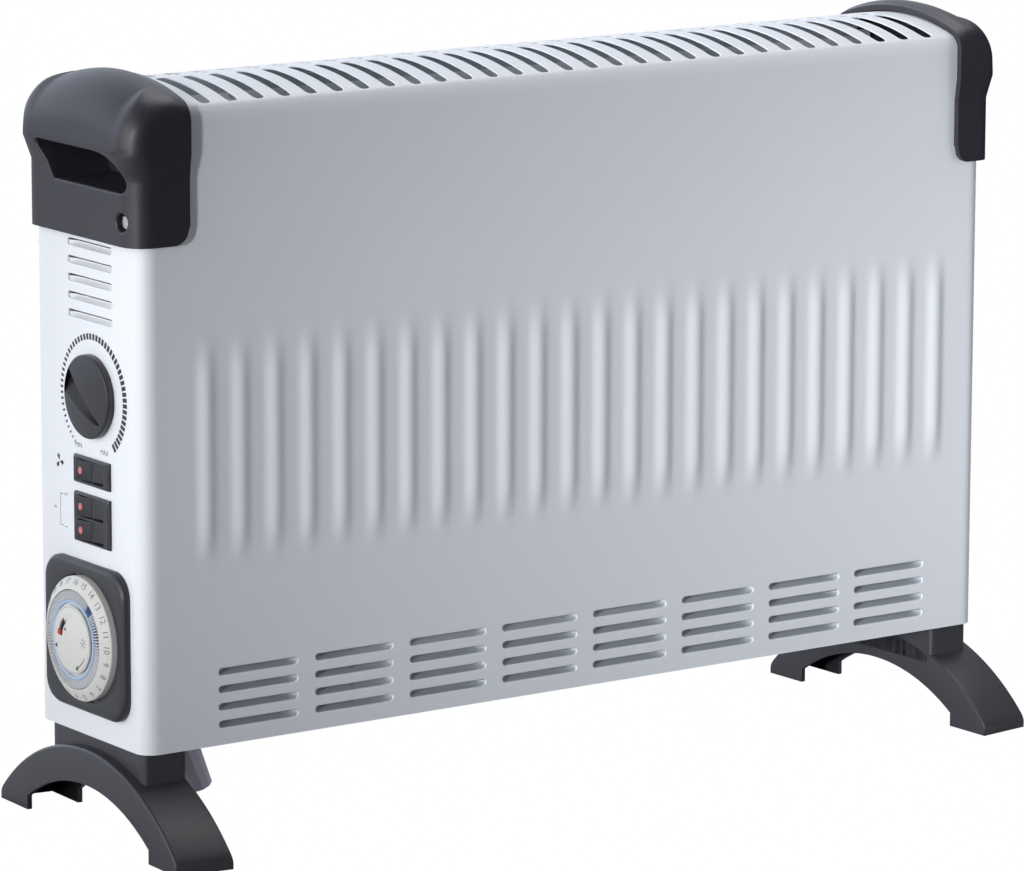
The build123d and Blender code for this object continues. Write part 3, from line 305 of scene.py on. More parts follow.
def window_at(us, vs, centre, half, radius):
    """Window of a hole with rounded corners about a centre."""
    spans = [(middle - reach - MARGIN, middle + reach + MARGIN) for middle, reach in zip(centre, half)]
    return window(us, vs, *spans, rounded_hole(centre, half, radius))


# %% [markdown]
# ## Finishes
#
# Powder coat, moulded plastic and plated steel differ in how rough they are and in how evenly they are
# coloured. Each finish is a Principled shader with fine grain in its roughness and its bump, and a slow
# drift in its colour. The noise is read in object coordinates, so nothing is drawn from a picture.

# %% Procedural materials
DRIFT_SCALE = 14.0
GRAIN_HEIGHT = 0.0002


def add_node(tree, kind, inputs=None, **settings):
    """New shader node with its settings, and then the values of its inputs by name or number."""
    node = tree.nodes.new("ShaderNode" + kind)
    for name, value in settings.items():
        setattr(node, name, value)
    for name, value in (inputs or {}).items():
        node.inputs[name].default_value = value
    return node


def wire(tree, *links):
    """Joins nodes by links (node, output, node, input), written in the order in which the signal runs."""
    for source, output, target, name in links:
        tree.links.new(source.outputs[output], target.inputs[name])


def finish(name, colour, roughness, metallic=0.0, grain=900.0, bump=0.05, drift=0.06, other=None):
    """Principled material: noise varies colour by drift, roughness by a tenth, and the bump by grain."""
    material = bpy.data.materials.new(name)
    material.use_nodes = True
    tree = material.node_tree
    shader = tree.nodes["Principled BSDF"]
    shader.inputs["Metallic"].default_value = metallic
    darker = other or [channel * (1 - drift) for channel in colour]
    lighter = colour if other else [min(channel * (1 + drift), 1) for channel in colour]
    place = add_node(tree, "TexCoord")
    slow = add_node(tree, "TexNoise", {"Scale": DRIFT_SCALE, "Detail": 3.0})
    fine = add_node(tree, "TexNoise", {"Scale": grain, "Detail": 2.0})
    tint = add_node(tree, "Mix", {"A": (*darker, 1), "B": (*lighter, 1)}, data_type="RGBA")
    rough = add_node(tree, "MapRange", {"To Min": roughness * 0.9, "To Max": roughness * 1.1})
    relief = add_node(tree, "Bump", {"Strength": bump, "Distance": GRAIN_HEIGHT})
    wire(
        tree,
        (place, "Object", slow, "Vector"),
        (place, "Object", fine, "Vector"),
        (slow, "Fac", tint, "Factor"),
        (tint, "Result", shader, "Base Color"),
        (fine, "Fac", rough, "Value"),
        (rough, "Result", shader, "Roughness"),
        (fine, "Fac", relief, "Height"),
        (relief, "Normal", shader, "Normal"),
    )
    return material


def primed(material, primer_and_shade):
    """Gives a sheet's inner side, which the topcoat does not reach, primer grey that is also painted shade.
    """
    tree = material.node_tree
    shader = tree.nodes["Principled BSDF"]
    side = add_node(tree, "NewGeometry")
    choice = add_node(tree, "Mix", {"B": (*primer_and_shade, 1)}, data_type="RGBA")
    tree.links.new(shader.inputs["Base Color"].links[0].from_socket, choice.inputs["A"])
    wire(tree, (side, "Backfacing", choice, "Factor"), (choice, "Result", shader, "Base Color"))


ENAMEL = finish("enamel", (0.79, 0.81, 0.85), 0.40, grain=1400, bump=0.04, drift=0.015)
# The grey inside stands for the primer and is also painted shade on the inside of the casing seen through
# the slots
primed(ENAMEL, (0.42, 0.46, 0.49))
CHARCOAL = finish("charcoal", (0.025, 0.0225, 0.030), 0.44, grain=1100, bump=0.22, drift=0.08)
FOOT = finish("foot_charcoal", (0.042, 0.041, 0.048), 0.40, grain=1100, bump=0.2, drift=0.08)
BLACK = finish("black_plastic", (0.023, 0.023, 0.028), 0.36, grain=900, bump=0.12, drift=0.1)
DARK_PRINT = finish("dark_print", (0.03, 0.03, 0.036), 0.55, drift=0.1)
WHITE = finish("white_plastic", (0.70, 0.68, 0.80), 0.4, drift=0.02)
DIAL = finish("dial_plastic", (0.66, 0.65, 0.62), 0.45, grain=1200, drift=0.02)
DIAL_PRINT = finish("dial_print", (0.16, 0.16, 0.17), 0.6, drift=0.05)
RING_BLUE = finish("ring_blue", (0.36, 0.50, 0.66), 0.4, drift=0.03)
BLUE = finish("blue_plastic", (0.10, 0.19, 0.42), 0.36, drift=0.06)
RED = finish("red_plastic", (0.50, 0.05, 0.04), 0.38, drift=0.06)
RED_PRINT = finish("red_print", (0.62, 0.16, 0.18), 0.5, drift=0.04)
ZINC = finish("zinc", (0.62, 0.62, 0.60), 0.3, metallic=1.0, grain=500, bump=0.1, drift=0.08)
CHROME = finish("bright_screw", (0.85, 0.85, 0.86), 0.16, metallic=1.0, grain=400, bump=0.03, drift=0.03)
STEEL = finish("steel_shaft", (0.55, 0.55, 0.56), 0.25, metallic=1.0, grain=700, drift=0.05)
BRIGHT = finish("bright_sheet", (0.72, 0.73, 0.74), 0.22, metallic=1.0, grain=300, bump=0.06, drift=0.05)
MICA = finish("mica", (0.42, 0.33, 0.20), 0.35, grain=160, bump=0.1, other=(0.30, 0.22, 0.13))
RIBBON = finish("ribbon", (0.35, 0.32, 0.30), 0.35, metallic=0.9, other=(0.24, 0.24, 0.32))
print("materials:", len(bpy.data.materials))

# %% [markdown]
# ## The camera
#
# The photograph was taken with a long lens from the left and a little above, so upright edges stay almost
# parallel. The camera's place and turn come from lines of known length on the casing.

# %% Camera
CAMERA_PLACE = np.array([-1740.2, -2483.0, 776.5])
CAMERA_AZIMUTH, CAMERA_DIP, CAMERA_ROLL = np.radians([34.944, 11.184, 0.1536])
FOCAL_LENGTH, FILM_WIDTH = 207.46, 36.0
ahead = np.array([
    math.sin(CAMERA_AZIMUTH) * math.cos(CAMERA_DIP),
    math.cos(CAMERA_AZIMUTH) * math.cos(CAMERA_DIP),
    -math.sin(CAMERA_DIP),
])
level = np.array([math.cos(CAMERA_AZIMUTH), -math.sin(CAMERA_AZIMUTH), 0.0])
upright = np.cross(level, ahead)
side_way = math.cos(CAMERA_ROLL) * level + math.sin(CAMERA_ROLL) * upright
up_way = math.cos(CAMERA_ROLL) * upright - math.sin(CAMERA_ROLL) * level
stance = np.identity(4)
stance[:3] = np.column_stack([side_way, up_way, -ahead, CAMERA_PLACE * MM])
lens = bpy.data.cameras.new("camera")
lens.lens = FOCAL_LENGTH
lens.sensor_width = FILM_WIDTH
lens.clip_end = 20.0
camera = bpy.data.objects.new("camera", lens)
camera.matrix_world = Matrix(stance)
bpy.context.scene.collection.objects.link(camera)
bpy.context.scene.camera = camera
print("camera at", CAMERA_PLACE, "mm with a lens of", FOCAL_LENGTH, "mm")

# %% [markdown]
# ## Light
#
# The heater stands in a white studio. The left end faces the large light and is almost white, while the
# front face is lit from its far end and falls into grey toward the near corner. A soft spot grazes the
# front from the left, so that the near flanks of the ribs are bright. A faint strip inside shows the
# lower ends of the slots in the grille.

# %% Lights


def aimed(light, place, target):
    """Lamp with a light at a place, turned toward a target, both in metres."""
    lamp = bpy.data.objects.new(light.name, light)
    lamp.rotation_euler = (Vector(place) - Vector(target)).to_track_quat("Z", "Y").to_euler()
    lamp.location = place
    bpy.context.scene.collection.objects.link(lamp)
    lamp.visible_camera = False
    return lamp


def area_light(name, place, target, size, power, colour=(1, 1, 1)):
    """Square light turned toward a target."""
    light = bpy.data.lights.new(name, "AREA")
    light.shape = "SQUARE"
    light.size = size
    light.energy = power
    light.color = colour
    return aimed(light, place, target)


area_light("end_light", (-2.6, 0.1, 1.0), (-0.2, 0, 0.2), 1.6, 29, (1.0, 0.985, 0.955))
area_light("top_light", (0.7, 0.3, 2.2), (0.15, 0, 0.3), 1.6, 24)
far_light = area_light("far_light", (0.92, -0.55, 0.22), (0.24, -0.05, 0.12), 0.8, 4.0, (0.93, 0.96, 1.0))
far_light.visible_glossy = False
graze = bpy.data.lights.new("graze_light", "SPOT")
graze.energy = 640
graze.color = (0.95, 0.97, 1.0)
graze.spot_size = math.radians(16)
graze.spot_blend = 1.0
graze.shadow_soft_size = 0.3
aimed(graze, (-2.5, -1.45, 0.6), (0.56, -0.05, 0.15))
strip_light = area_light("inside_fill", (0.0, 0.0, 0.30), (0.0, 0.0, 0.5), 0.46, 0.08)
strip_light.data.shape, strip_light.data.size_y = "RECTANGLE", 0.06
strip_light.rotation_euler = (math.pi, 0, 0)

# %% [markdown]
# ## Backdrop and ground
#
# The ground and the backdrop are plain white to the camera. To the object they are what a studio is:
# brighter behind it than before it, so that glossy plastic has something to reflect and the near corner
# stays grey.

# %% Backdrop
BACKDROP_TINT, BACKDROP_WAY = (0.74, 0.82, 0.95, 1), (-0.1, 0.99, 0)
world = bpy.data.worlds.new("studio")
bpy.context.scene.world = world
world.use_nodes = True
sky = world.node_tree
dim = sky.nodes["Background"]
dim.inputs["Color"].default_value = BACKDROP_TINT
heading = add_node(sky, "TexCoord")
rearward = add_node(sky, "VectorMath", {1: BACKDROP_WAY}, operation="DOT_PRODUCT")
backdrop = add_node(sky, "MapRange", {"From Min": 0.3, "From Max": 0.9, "To Min": 0.07, "To Max": 1.9})
clear = add_node(sky, "Background", {"Color": (1, 1, 1, 1), "Strength": 1.0})
view_ray = add_node(sky, "LightPath")
choose = add_node(sky, "MixShader")
wire(
    sky,
    (heading, "Generated", rearward, 0),
    (rearward, "Value", backdrop, "Value"),
    (backdrop, "Result", dim, "Strength"),
    (view_ray, "Is Camera Ray", choose, "Fac"),
    (dim, "Background", choose, 1),
    (clear, "Background", choose, 2),
    (choose, "Shader", sky.nodes["World Output"], "Surface"),
)
print("backdrop nodes:", len(sky.nodes))

# %% Ground
FLOOR_SIDE, FLOOR_WAY = 12.0, (-0.573, 0.82, 0)
floor_material = bpy.data.materials.new("floor")
floor_material.use_nodes = True
ground = floor_material.node_tree
paper = ground.nodes["Principled BSDF"]
paper.inputs["Roughness"].default_value = 0.9
spot = add_node(ground, "TexCoord")
across_floor = add_node(ground, "VectorMath", {1: FLOOR_WAY}, operation="DOT_PRODUCT")
shade = add_node(ground, "MapRange", {"From Min": -0.5, "From Max": 0.9, "To Min": 0.06, "To Max": 0.9})
glow = add_node(ground, "Emission", {"Strength": 1.0})
seen_ray = add_node(ground, "LightPath")
pick = add_node(ground, "MixShader")
wire(
    ground,
    (spot, "Object", across_floor, 0),
    (across_floor, "Value", shade, "Value"),
    (shade, "Result", paper, "Base Color"),
    (seen_ray, "Is Camera Ray", pick, "Fac"),
    (paper, "BSDF", pick, 1),
    (glow, "Emission", pick, 2),
    (pick, "Shader", ground.nodes["Material Output"], "Surface"),
)
floor_mesh = bpy.data.meshes.new("floor")
floor_corners = window_ring(1, 1) * FLOOR_SIDE / 2
floor_mesh.from_pydata([(x, y, 0) for x, y in floor_corners.tolist()], [], [(0, 1, 2, 3)])
floor = bpy.data.objects.new("floor", floor_mesh)
floor_mesh.materials.append(floor_material)
bpy.context.scene.collection.objects.link(floor)
bpy.context.scene.view_settings.view_transform = "Standard"
print("ground:", FLOOR_SIDE, "m square")

# %% [markdown]
# ## Where the controls sit
#
# The openings in the end panel and the controls in front of them share their middles, so these places are
# written once: the depth behind the front face, and the rise above the underside.

# %% Places of the controls
KNOB_BACK, KNOB_RISE = 46.5, 175.0
SWITCH_BACK, FAN_RISE, HEAT_RISE = 46.5, 136.4, 112.0
ROCKER_OFFSET = 6.05  # from the middle of the double switch to each of its rockers
TIMER_BACK, TIMER_RISE = 51.0, 51.5
print("controls at", [KNOB_RISE, FAN_RISE, HEAT_RISE, TIMER_RISE], "mm above the underside")

# %% [markdown]
# ## The casing: one bent sheet
#
# The front and both ends are one blank, folded round two corners of 9 mm radius. Before folding, a press
# cuts the louvres and draws the ribs that keep the thin sheet from drumming. The surface follows that
# order: a path in plan, measured along its length, times the height. The ribs are a low cosine ridge
# added along the sheet's normal. They could be a bump in the material, but then the light would not
# graze them, and their outline would stay straight.

# %% The path of the folded sheet
SHELL_DEPTH = BODY_DEPTH - SHEET
FOLD, REAR_FOLD, RETURN = 9.0, 2.0, 10.0
FOLD_STEPS, REAR_FOLD_STEPS = 13, 7
SEAT_GAP = 0.2  # keeps the return flange clear of the rear panel that lies on it
# Centre, radius, first angle and steps of each fold, from the left rear edge round the front
FOLDS = (
    ((REAR_FOLD, SHELL_DEPTH - REAR_FOLD), REAR_FOLD, 90, REAR_FOLD_STEPS),
    ((FOLD, FOLD), FOLD, 180, FOLD_STEPS),
    ((BODY_LENGTH - FOLD, FOLD), FOLD, 270, FOLD_STEPS),
    ((BODY_LENGTH - REAR_FOLD, SHELL_DEPTH - REAR_FOLD), REAR_FOLD, 0, REAR_FOLD_STEPS),
)
fold_lines = [arc(centre, radius, first, first + 90, steps) for centre, radius, first, steps in FOLDS]
fold_normals = [arc((0, 0), 1, first, first + 90, steps) for centre, radius, first, steps in FOLDS]
left_end, right_end = [[RETURN, SHELL_DEPTH - SEAT_GAP]], [[BODY_LENGTH - RETURN, SHELL_DEPTH - SEAT_GAP]]
edge_line = np.vstack([left_end, *fold_lines, right_end])
edge_normal = np.vstack([[[0, 1]], *fold_normals, [[0, 1]]])
edge_run = run_along(edge_line)
END_RUN = edge_run[REAR_FOLD_STEPS + 1]  # start of the front fold, where the left end stops
FRONT_RUN = edge_run[REAR_FOLD_STEPS + FOLD_STEPS]  # where the front face starts, at X = FOLD
print("blank:", round(edge_run[-1], 1), "mm round the plan")


def along_front(x):
    """Path length at a place on the front face."""
    return FRONT_RUN + x - FOLD


def along_end(y):
    """Path length at a depth on the left end."""
    return END_RUN + FOLD - y


# %% The sheet with its ribs
RIB_PITCH, RIB_COUNT, RIB_SHIFT, RIB_HEIGHT, RIB_HALF = 20.05, 24, 2.8, 2.1, 7.0
RIB_LOW, RIB_HIGH, RIB_FADE = 89.0, 210.0, 26.0  # where the ribs start and end, and how softly


def rib_height(x, z):
    """Ridges 0.5 h (1 + cos(pi d / w)) over the distance d to the nearest rib, faded out at both ends."""
    first = (BODY_LENGTH - RIB_PITCH * (RIB_COUNT - 1)) / 2 + RIB_SHIFT
    nearest_rib = np.clip(np.round((x - first) / RIB_PITCH), 0, RIB_COUNT - 1)
    distance = np.clip(np.abs(x - first - nearest_rib * RIB_PITCH) / RIB_HALF, 0, 1)
    fade = smoothstep(RIB_LOW, RIB_LOW + RIB_FADE, z) * (1 - smoothstep(RIB_HIGH - RIB_FADE, RIB_HIGH, z))
    return RIB_HEIGHT * 0.5 * (1 + np.cos(np.pi * distance)) * fade


def casing(run, rise, height):
    """Path point p(s) plus its normal n(s) times (height + rib), at a height above the underside."""
    x, y = (np.interp(run, edge_run, edge_line[:, axis]) for axis in (0, 1))
    normal = np.column_stack([np.interp(run, edge_run, edge_normal[:, axis]) for axis in (0, 1)])
    normal /= np.linalg.norm(normal, axis=1, keepdims=True)
    on_front = (run > FRONT_RUN) & (run < along_front(BODY_LENGTH - FOLD))
    out = height + rib_height(x, rise) * on_front
    return np.column_stack([x + normal[:, 0] * out, y + normal[:, 1] * out, rise])


# %% [markdown]
# ### What the press cuts
#
# Eight groups of four louvres run along the foot of the front. Five more sit high on the end, over the
# knob, and below them are the openings that the controls reach through. Each opening is a middle, a half
# length and height, a corner radius and the number of grid steps up its window.

# %% Openings in the casing
END_RISE = 276.0
LOUVRE_START, LOUVRE_PITCH, LOUVRE_LENGTH, LOUVRE_GROUPS = 43.5, 57.5, 47.0, 8
LOUVRE_HALF = 1.8
LOUVRE_RISES = 10.4 + 9.0 * np.arange(4)
END_LOUVRE_FRONT, END_LOUVRE_LENGTH = 27.5, 42.0
END_LOUVRE_RISES = 250.2 - 9.0 * np.arange(5)
RUN_STEP, RISE_STEP, FOLD_LINES = 1.8, 5.0, 12  # widest gaps of the grid, and its steps round the front fold
# Depth and rise of the middle, half depth and half rise of each opening behind a control
CONTROL_CUTS = (
    (KNOB_BACK, KNOB_RISE, 6.0, 6.0),
    (SWITCH_BACK, FAN_RISE, 13.5, 6.6),
    (SWITCH_BACK, HEAT_RISE, 13.5, 12.2),
    (TIMER_BACK, TIMER_RISE, 29.4, 29.4),
)
front_louvres = [
    (along_front(LOUVRE_START + LOUVRE_PITCH * group + LOUVRE_LENGTH / 2), rise)
    for group in range(LOUVRE_GROUPS) for rise in LOUVRE_RISES
]
end_louvres = [(along_end(END_LOUVRE_FRONT + END_LOUVRE_LENGTH / 2), rise) for rise in END_LOUVRE_RISES]
holes = [(place, (LOUVRE_LENGTH / 2, LOUVRE_HALF), LOUVRE_HALF, 4) for place in front_louvres]
holes += [(place, (END_LOUVRE_LENGTH / 2, LOUVRE_HALF), 1.0, 4) for place in end_louvres]
holes += [((along_end(back), rise), (wide, tall), 0.5, 2) for back, rise, wide, tall in CONTROL_CUTS]
run_spans = [(c[0] - h[0] - MARGIN, c[0] + h[0] + MARGIN, 2) for c, h, radius, steps in holes]
rise_spans = [(c[1] - h[1] - MARGIN, c[1] + h[1] + MARGIN, steps) for c, h, radius, steps in holes]
run_spans.append((END_RUN, FRONT_RUN, FOLD_LINES))
runs = samples(0, edge_run[-1], run_spans, RUN_STEP)
rises = samples(0, END_RISE, rise_spans, RISE_STEP)
windows = [window_at(runs, rises, centre, half, radius) for centre, half, radius, steps in holes]
shell_parts = [holed_sheet(runs, rises, windows, casing)]
print("casing grid", len(runs), "x", len(rises), "with", len(windows), "openings")

# %% [markdown]
# ## Louvre blades
#
# The tongue of metal below each opening is pushed inward, so that air passes but a finger or a look does
# not. A blade is as deep as the press tool in the middle and runs back into the sheet at both ends. It
# is read off the same surface as the casing, so it follows the sheet without being placed by hand.

# %% Pressed blades
FRONT_BLADE, END_BLADE = 6.0, 3.4
FRONT_COVER, END_COVER = 0.8, 0.6  # how much of the opening's height a blade covers


def blade(centre, half_length, travel, share):
    """Tongue behind an opening: depth = sheet + travel sin(pi t / 2) (1 - u^8), for t up to a share."""
    across, up = np.meshgrid(np.linspace(-1, 1, 25), np.linspace(0, 1, 6), indexing="ij")
    depth = SHEET + (travel - SHEET) * np.sin(up * np.pi / 2) * (1 - across**8)
    rise = centre[1] - LOUVRE_HALF + 2 * LOUVRE_HALF * share * up
    points = casing(centre[0] + across.ravel() * half_length, rise.ravel(), -depth.ravel())
    return grid(points.reshape(*across.shape, 3))


shell_parts += [blade(centre, LOUVRE_LENGTH / 2, FRONT_BLADE, FRONT_COVER) for centre in front_louvres]
shell_parts += [blade(centre, END_LOUVRE_LENGTH / 2, END_BLADE, END_COVER) for centre in end_louvres]
print("blades:", len(front_louvres) + len(end_louvres))

# %% [markdown]
# ## The crowned grille
#
# The same sheet is rolled over the top to a radius of 153 mm, so that nothing stays on it and it is stiff
# enough to be leant on. Two rows of thirty slots let the warm air out. The slots start on the bend
# itself, which is why their lower ends show from the front. Sixty Boolean cuts would leave knife edges
# and long thin faces on a curved sheet. Windows in the grid give every slot its rolled edge instead.

# %% The section of the roof
CROWN_RADIUS, CROWN_LIFT, BEND = 153.0, -0.7, 8.0
crown_hub = np.array([SHELL_DEPTH / 2, CROWN + CROWN_LIFT - CROWN_RADIUS])
bend_across = SHELL_DEPTH / 2 - BEND
bend_rise = crown_hub[1] + math.sqrt((CROWN_RADIUS - BEND)**2 - bend_across**2)
bend_angle = math.degrees(math.atan2(bend_rise - crown_hub[1], bend_across))
REAR_EDGE = CROWN - 2 * BEND - 3.0  # the rear flange reaches behind the panel
roof_line = np.vstack([
    [[0, END_RISE]],
    arc((BEND, bend_rise), BEND, 180, 180 - bend_angle, 9),
    arc(crown_hub, CROWN_RADIUS, 180 - bend_angle, bend_angle, 41)[1:],
    arc((SHELL_DEPTH - BEND, bend_rise), BEND, bend_angle, 0, 9)[1:],
    [[SHELL_DEPTH - SEAT_GAP, REAR_EDGE]],
])
slope_way = np.gradient(roof_line, axis=0)
slope_length = np.linalg.norm(slope_way, axis=1, keepdims=True)
roof_normal = np.column_stack([-slope_way[:, 1], slope_way[:, 0]]) / slope_length
roof_normal[0], roof_normal[-1] = (-1, 0), (1, 0)
roof_run = run_along(roof_line)
print("over the roof:", round(roof_run[-1], 1), "mm")


def roof(x, run, height):
    """Section point q(t) plus its normal m(t) times the height, carried along X."""
    y, z = (np.interp(run, roof_run, roof_line[:, axis]) for axis in (0, 1))
    out_y, out_z = (np.interp(run, roof_run, roof_normal[:, axis]) for axis in (0, 1))
    return np.column_stack([x, y + out_y * height, z + out_z * height])


def roof_at(y):
    """Path length over the roof at a depth."""
    return np.interp(y, roof_line[1:-1, 0], roof_run[1:-1])


# %% Slots and the finished casing
SLOT_COUNT, SLOT_PITCH, SLOT_WIDTH, SLOT_START = 30, 15.62, 6.8, 3.5
FRONT_SLOT, REAR_SLOT = 43.5, 41.0
SLOT_SHIFT, SLOT_RADIUS = 2.1, 2.6
TOP_INSET, SLOT_ROLL, SLOT_DEPTH = 10.0, 0.3, 0.6
COLUMN_GAP, ROW_GAP = 3.0, 4.0  # widest gaps of the grid between the slots
slot_columns = BODY_LENGTH / 2 + SLOT_SHIFT + SLOT_PITCH * (np.arange(SLOT_COUNT) - (SLOT_COUNT - 1) / 2)
slot_rows = [
    (roof_at(SLOT_START), roof_at(SLOT_START + FRONT_SLOT)),
    (roof_at(SHELL_DEPTH - SLOT_START - REAR_SLOT), roof_at(SHELL_DEPTH - SLOT_START)),
]
across_spans = [(x - SLOT_WIDTH / 2 - MARGIN, x + SLOT_WIDTH / 2 + MARGIN, 6) for x in slot_columns]
row_spans = [(low - MARGIN, high + MARGIN, 22) for low, high in slot_rows]
columns = samples(TOP_INSET, BODY_LENGTH - TOP_INSET, across_spans, COLUMN_GAP)
rows = samples(0, roof_run[-1], row_spans, ROW_GAP)
slots = [
    window_at(columns, rows, (x, (low + high) / 2), (SLOT_WIDTH / 2, (high - low) / 2), SLOT_RADIUS)
    for x in slot_columns for low, high in slot_rows
]
shell_parts.append(holed_sheet(columns, rows, slots, roof, roll=SLOT_ROLL, depth=SLOT_DEPTH))
shell = build("casing", shell_parts, ENAMEL, node="front_shell", angle=40)
print("slots:", len(slots), "faces:", len(shell.data.polygons))

# %% [markdown]
# ## End caps
#
# Each upper corner is closed by a moulded cap. Its form is a box with very soft corners: an end face that
# swells into a brow over the finger grip, front and rear faces that wrap the sheet, and a top that
# follows the crown. The form is written as a signed distance, negative inside, which is the easiest way
# to say how two faces round over.

# %% The cap as a form
# How far the cap reaches along the sheet, its lower edge, and how far its faces stand off the steel
CAP_REACH, CAP_RISE, STAND_OFF, FLANK_OFF = 26.4, 255.5, 5.6, 3.5
# Swell of the brow on the end and on the flanks, where it comes over what height, and how it leans back
BROW, FRONT_BROW, BROW_FOOT, BROW_RUN, BROW_RISE, BROW_LEAN = 3.7, 1.7, 289.0, 12.0, 303.0, 0.66
CAP_TOP, CAP_CROWN = CROWN + 5.2, 143.0
CAP_CORNER, REAR_CORNER, END_ROUND, FRONT_ROUND = 12.5, 11.0, 24.0, 7.0
CAP_SWELL, SWELL_START, SWELL_END, FLANGE_CORNER = 2.2, CAP_REACH - 8, CAP_REACH + 1, 9.0
HALF_DEPTH, CORNER_BLEND = BODY_DEPTH / 2, 8.0


def corner_distance(a, b, radius):
    """Distance to two faces with signed distances a and b that meet in a rounding of a given radius."""
    a, b = a + radius, b + radius
    outside = np.hypot(np.maximum(a, 0), np.maximum(b, 0))
    return np.minimum(np.maximum(a, b), 0) + outside - radius


def cap_distance(x, y, z, endwise):
    """Signed distance to the cap's faces; endwise is 1 toward the end face and 0 toward front or rear."""
    brow = np.clip((z - BROW_FOOT) / BROW_RUN, 0, 1)
    lean = np.clip((z - BROW_RISE) / (CAP_TOP - BROW_RISE), 0, 1)
    end = -STAND_OFF - BROW * brow * (1 - BROW_LEAN * lean) - x
    flank = np.abs(y - HALF_DEPTH) - HALF_DEPTH - FLANK_OFF - FRONT_BROW * brow
    drop = CAP_CROWN - np.sqrt(CAP_CROWN**2 - (y - HALF_DEPTH)**2)
    top = z - CAP_TOP + drop + CAP_SWELL * smoothstep(SWELL_START, SWELL_END, x)
    frontness = smoothstep(HALF_DEPTH + CORNER_BLEND, HALF_DEPTH - CORNER_BLEND, y)
    turn_radius = REAR_CORNER + (CAP_CORNER - REAR_CORNER) * frontness
    wall = corner_distance(end, flank, turn_radius)
    return corner_distance(wall, top, FRONT_ROUND + (END_ROUND - FRONT_ROUND) * endwise)


# %% [markdown]
# ### Probing the form
#
# A point of the skin is found the way a mould maker probes a form: from a line inside it, straight out
# along a ray, until the form ends. The first parameter is the way round the plan: front flange, front
# corner, end face, rear corner, rear flange. The second is the height up to the spine. Above it the rays
# fan upward, and then their starts move in to the ridge.

# %% Rays and the skin
INNER, SPINE, FAN = 14.0, 303.0, 30.0
FAN_END, ROOF_END = SPINE + FAN, SPINE + 2 * FAN
EDGE_FADE = 268.0  # height where the rounded lower corner no longer bends the rows of the grid
FURTHEST, HALVINGS, PROBE = 70.0, 40, 0.01  # longest ray, cuts in half of it, and step to read the slope
FLANK_LENGTH, TURN_LENGTH, FACE_LENGTH = CAP_REACH - INNER, 20.0, BODY_DEPTH - 2 * INNER
way_knots = np.cumsum([0, FLANK_LENGTH, TURN_LENGTH, FACE_LENGTH, TURN_LENGTH, FLANK_LENGTH])
start_x = [CAP_REACH, INNER, INNER, INNER, INNER, CAP_REACH]
start_y = [INNER, INNER, INNER, BODY_DEPTH - INNER, BODY_DEPTH - INNER, BODY_DEPTH - INNER]
aim_angle = np.radians([270, 270, 180, 180, 90, 90])


def corner_drop(x):
    """Rise of the lower edge at the rounded corner of the flange: r - sqrt(r^2 - (x - x0)^2)."""
    past = np.clip(x - (CAP_REACH - FLANGE_CORNER), 0, FLANGE_CORNER)
    return FLANGE_CORNER - np.sqrt(FLANGE_CORNER**2 - past**2)


def cap_ray(way, up):
    """Start and direction of the ray at a place round the plan, for a height or for a share of the roof."""
    fan, inward = np.clip((up - SPINE) / FAN, 0, 1), np.clip((up - FAN_END) / FAN, 0, 1)
    x, y = np.interp(way, way_knots, start_x), np.interp(way, way_knots, start_y)
    ridge_y = INNER + (BODY_DEPTH - 2 * INNER) * way / way_knots[-1]
    x, y = x + (CAP_REACH - x) * inward, y + (ridge_y - y) * inward
    aim, tilt = np.interp(way, way_knots, aim_angle), fan * np.pi / 2
    low = CAP_RISE + corner_drop(x)
    bent = low + (up - CAP_RISE) * (EDGE_FADE - low) / (EDGE_FADE - CAP_RISE)
    z = np.where(up < EDGE_FADE, bent, np.minimum(up, SPINE))
    start = np.column_stack([x, y, z])
    aim_way = np.column_stack([np.cos(aim) * np.cos(tilt), np.sin(aim) * np.cos(tilt), np.sin(tilt)])
    return start, aim_way


def cap_skin(way, up, height):
    """Where the ray leaves the form, found by halving, then moved along the gradient by the height."""
    start, aim = cap_ray(way, up)
    endwise = aim[:, 0]**2 / np.maximum(aim[:, 0]**2 + aim[:, 1]**2, 1e-9)
    endwise = np.where(up > FAN_END - 0.1, np.cos(np.interp(way, way_knots, aim_angle))**2, endwise)
    near, far = np.zeros(len(way)), np.full(len(way), FURTHEST)
    for halving in range(HALVINGS):
        middle = (near + far) / 2
        inside = cap_distance(*(start + aim * middle[:, None]).T, endwise) < 0
        near, far = np.where(inside, middle, near), np.where(inside, far, middle)
    point = start + aim * near[:, None]
    slope = np.column_stack([
        cap_distance(*(point + step).T, endwise) - cap_distance(*(point - step).T, endwise)
        for step in np.eye(3) * PROBE
    ])
    slope /= np.linalg.norm(slope, axis=1, keepdims=True)
    return point + slope * np.asarray(height)[:, None]


# %% [markdown]
# ### Grip and screw well
#
# The mould has a core that leaves a pocket 26 mm deep for the fingers, with a long tapering shape and a
# rounded lip. Low at the front corner a small well hides the only screw that holds the cap. Both are
# drawn as one sees them, in depth and height, and then read back as the way round the plan.

# %% Holes in the cap
GRIP_DEPTH, GRIP_DRAFT, LIP = 26.0, 0.12, 1.2
GRIP_LOW, GRIP_HIGH = 282.0, 300.5
GRIP_SPAN, GRIP_ROWS = (2.0, 88.5), (279.0, 303.0)
SCREW_BACK, SCREW_RISE, SCREW_WELL, WELL_FLOOR = 9.0, 267.5, 4.6, -1.3
WELL_SPAN, WELL_ROWS = (SCREW_BACK - 6, SCREW_BACK + 6), (261.0, 274.0)
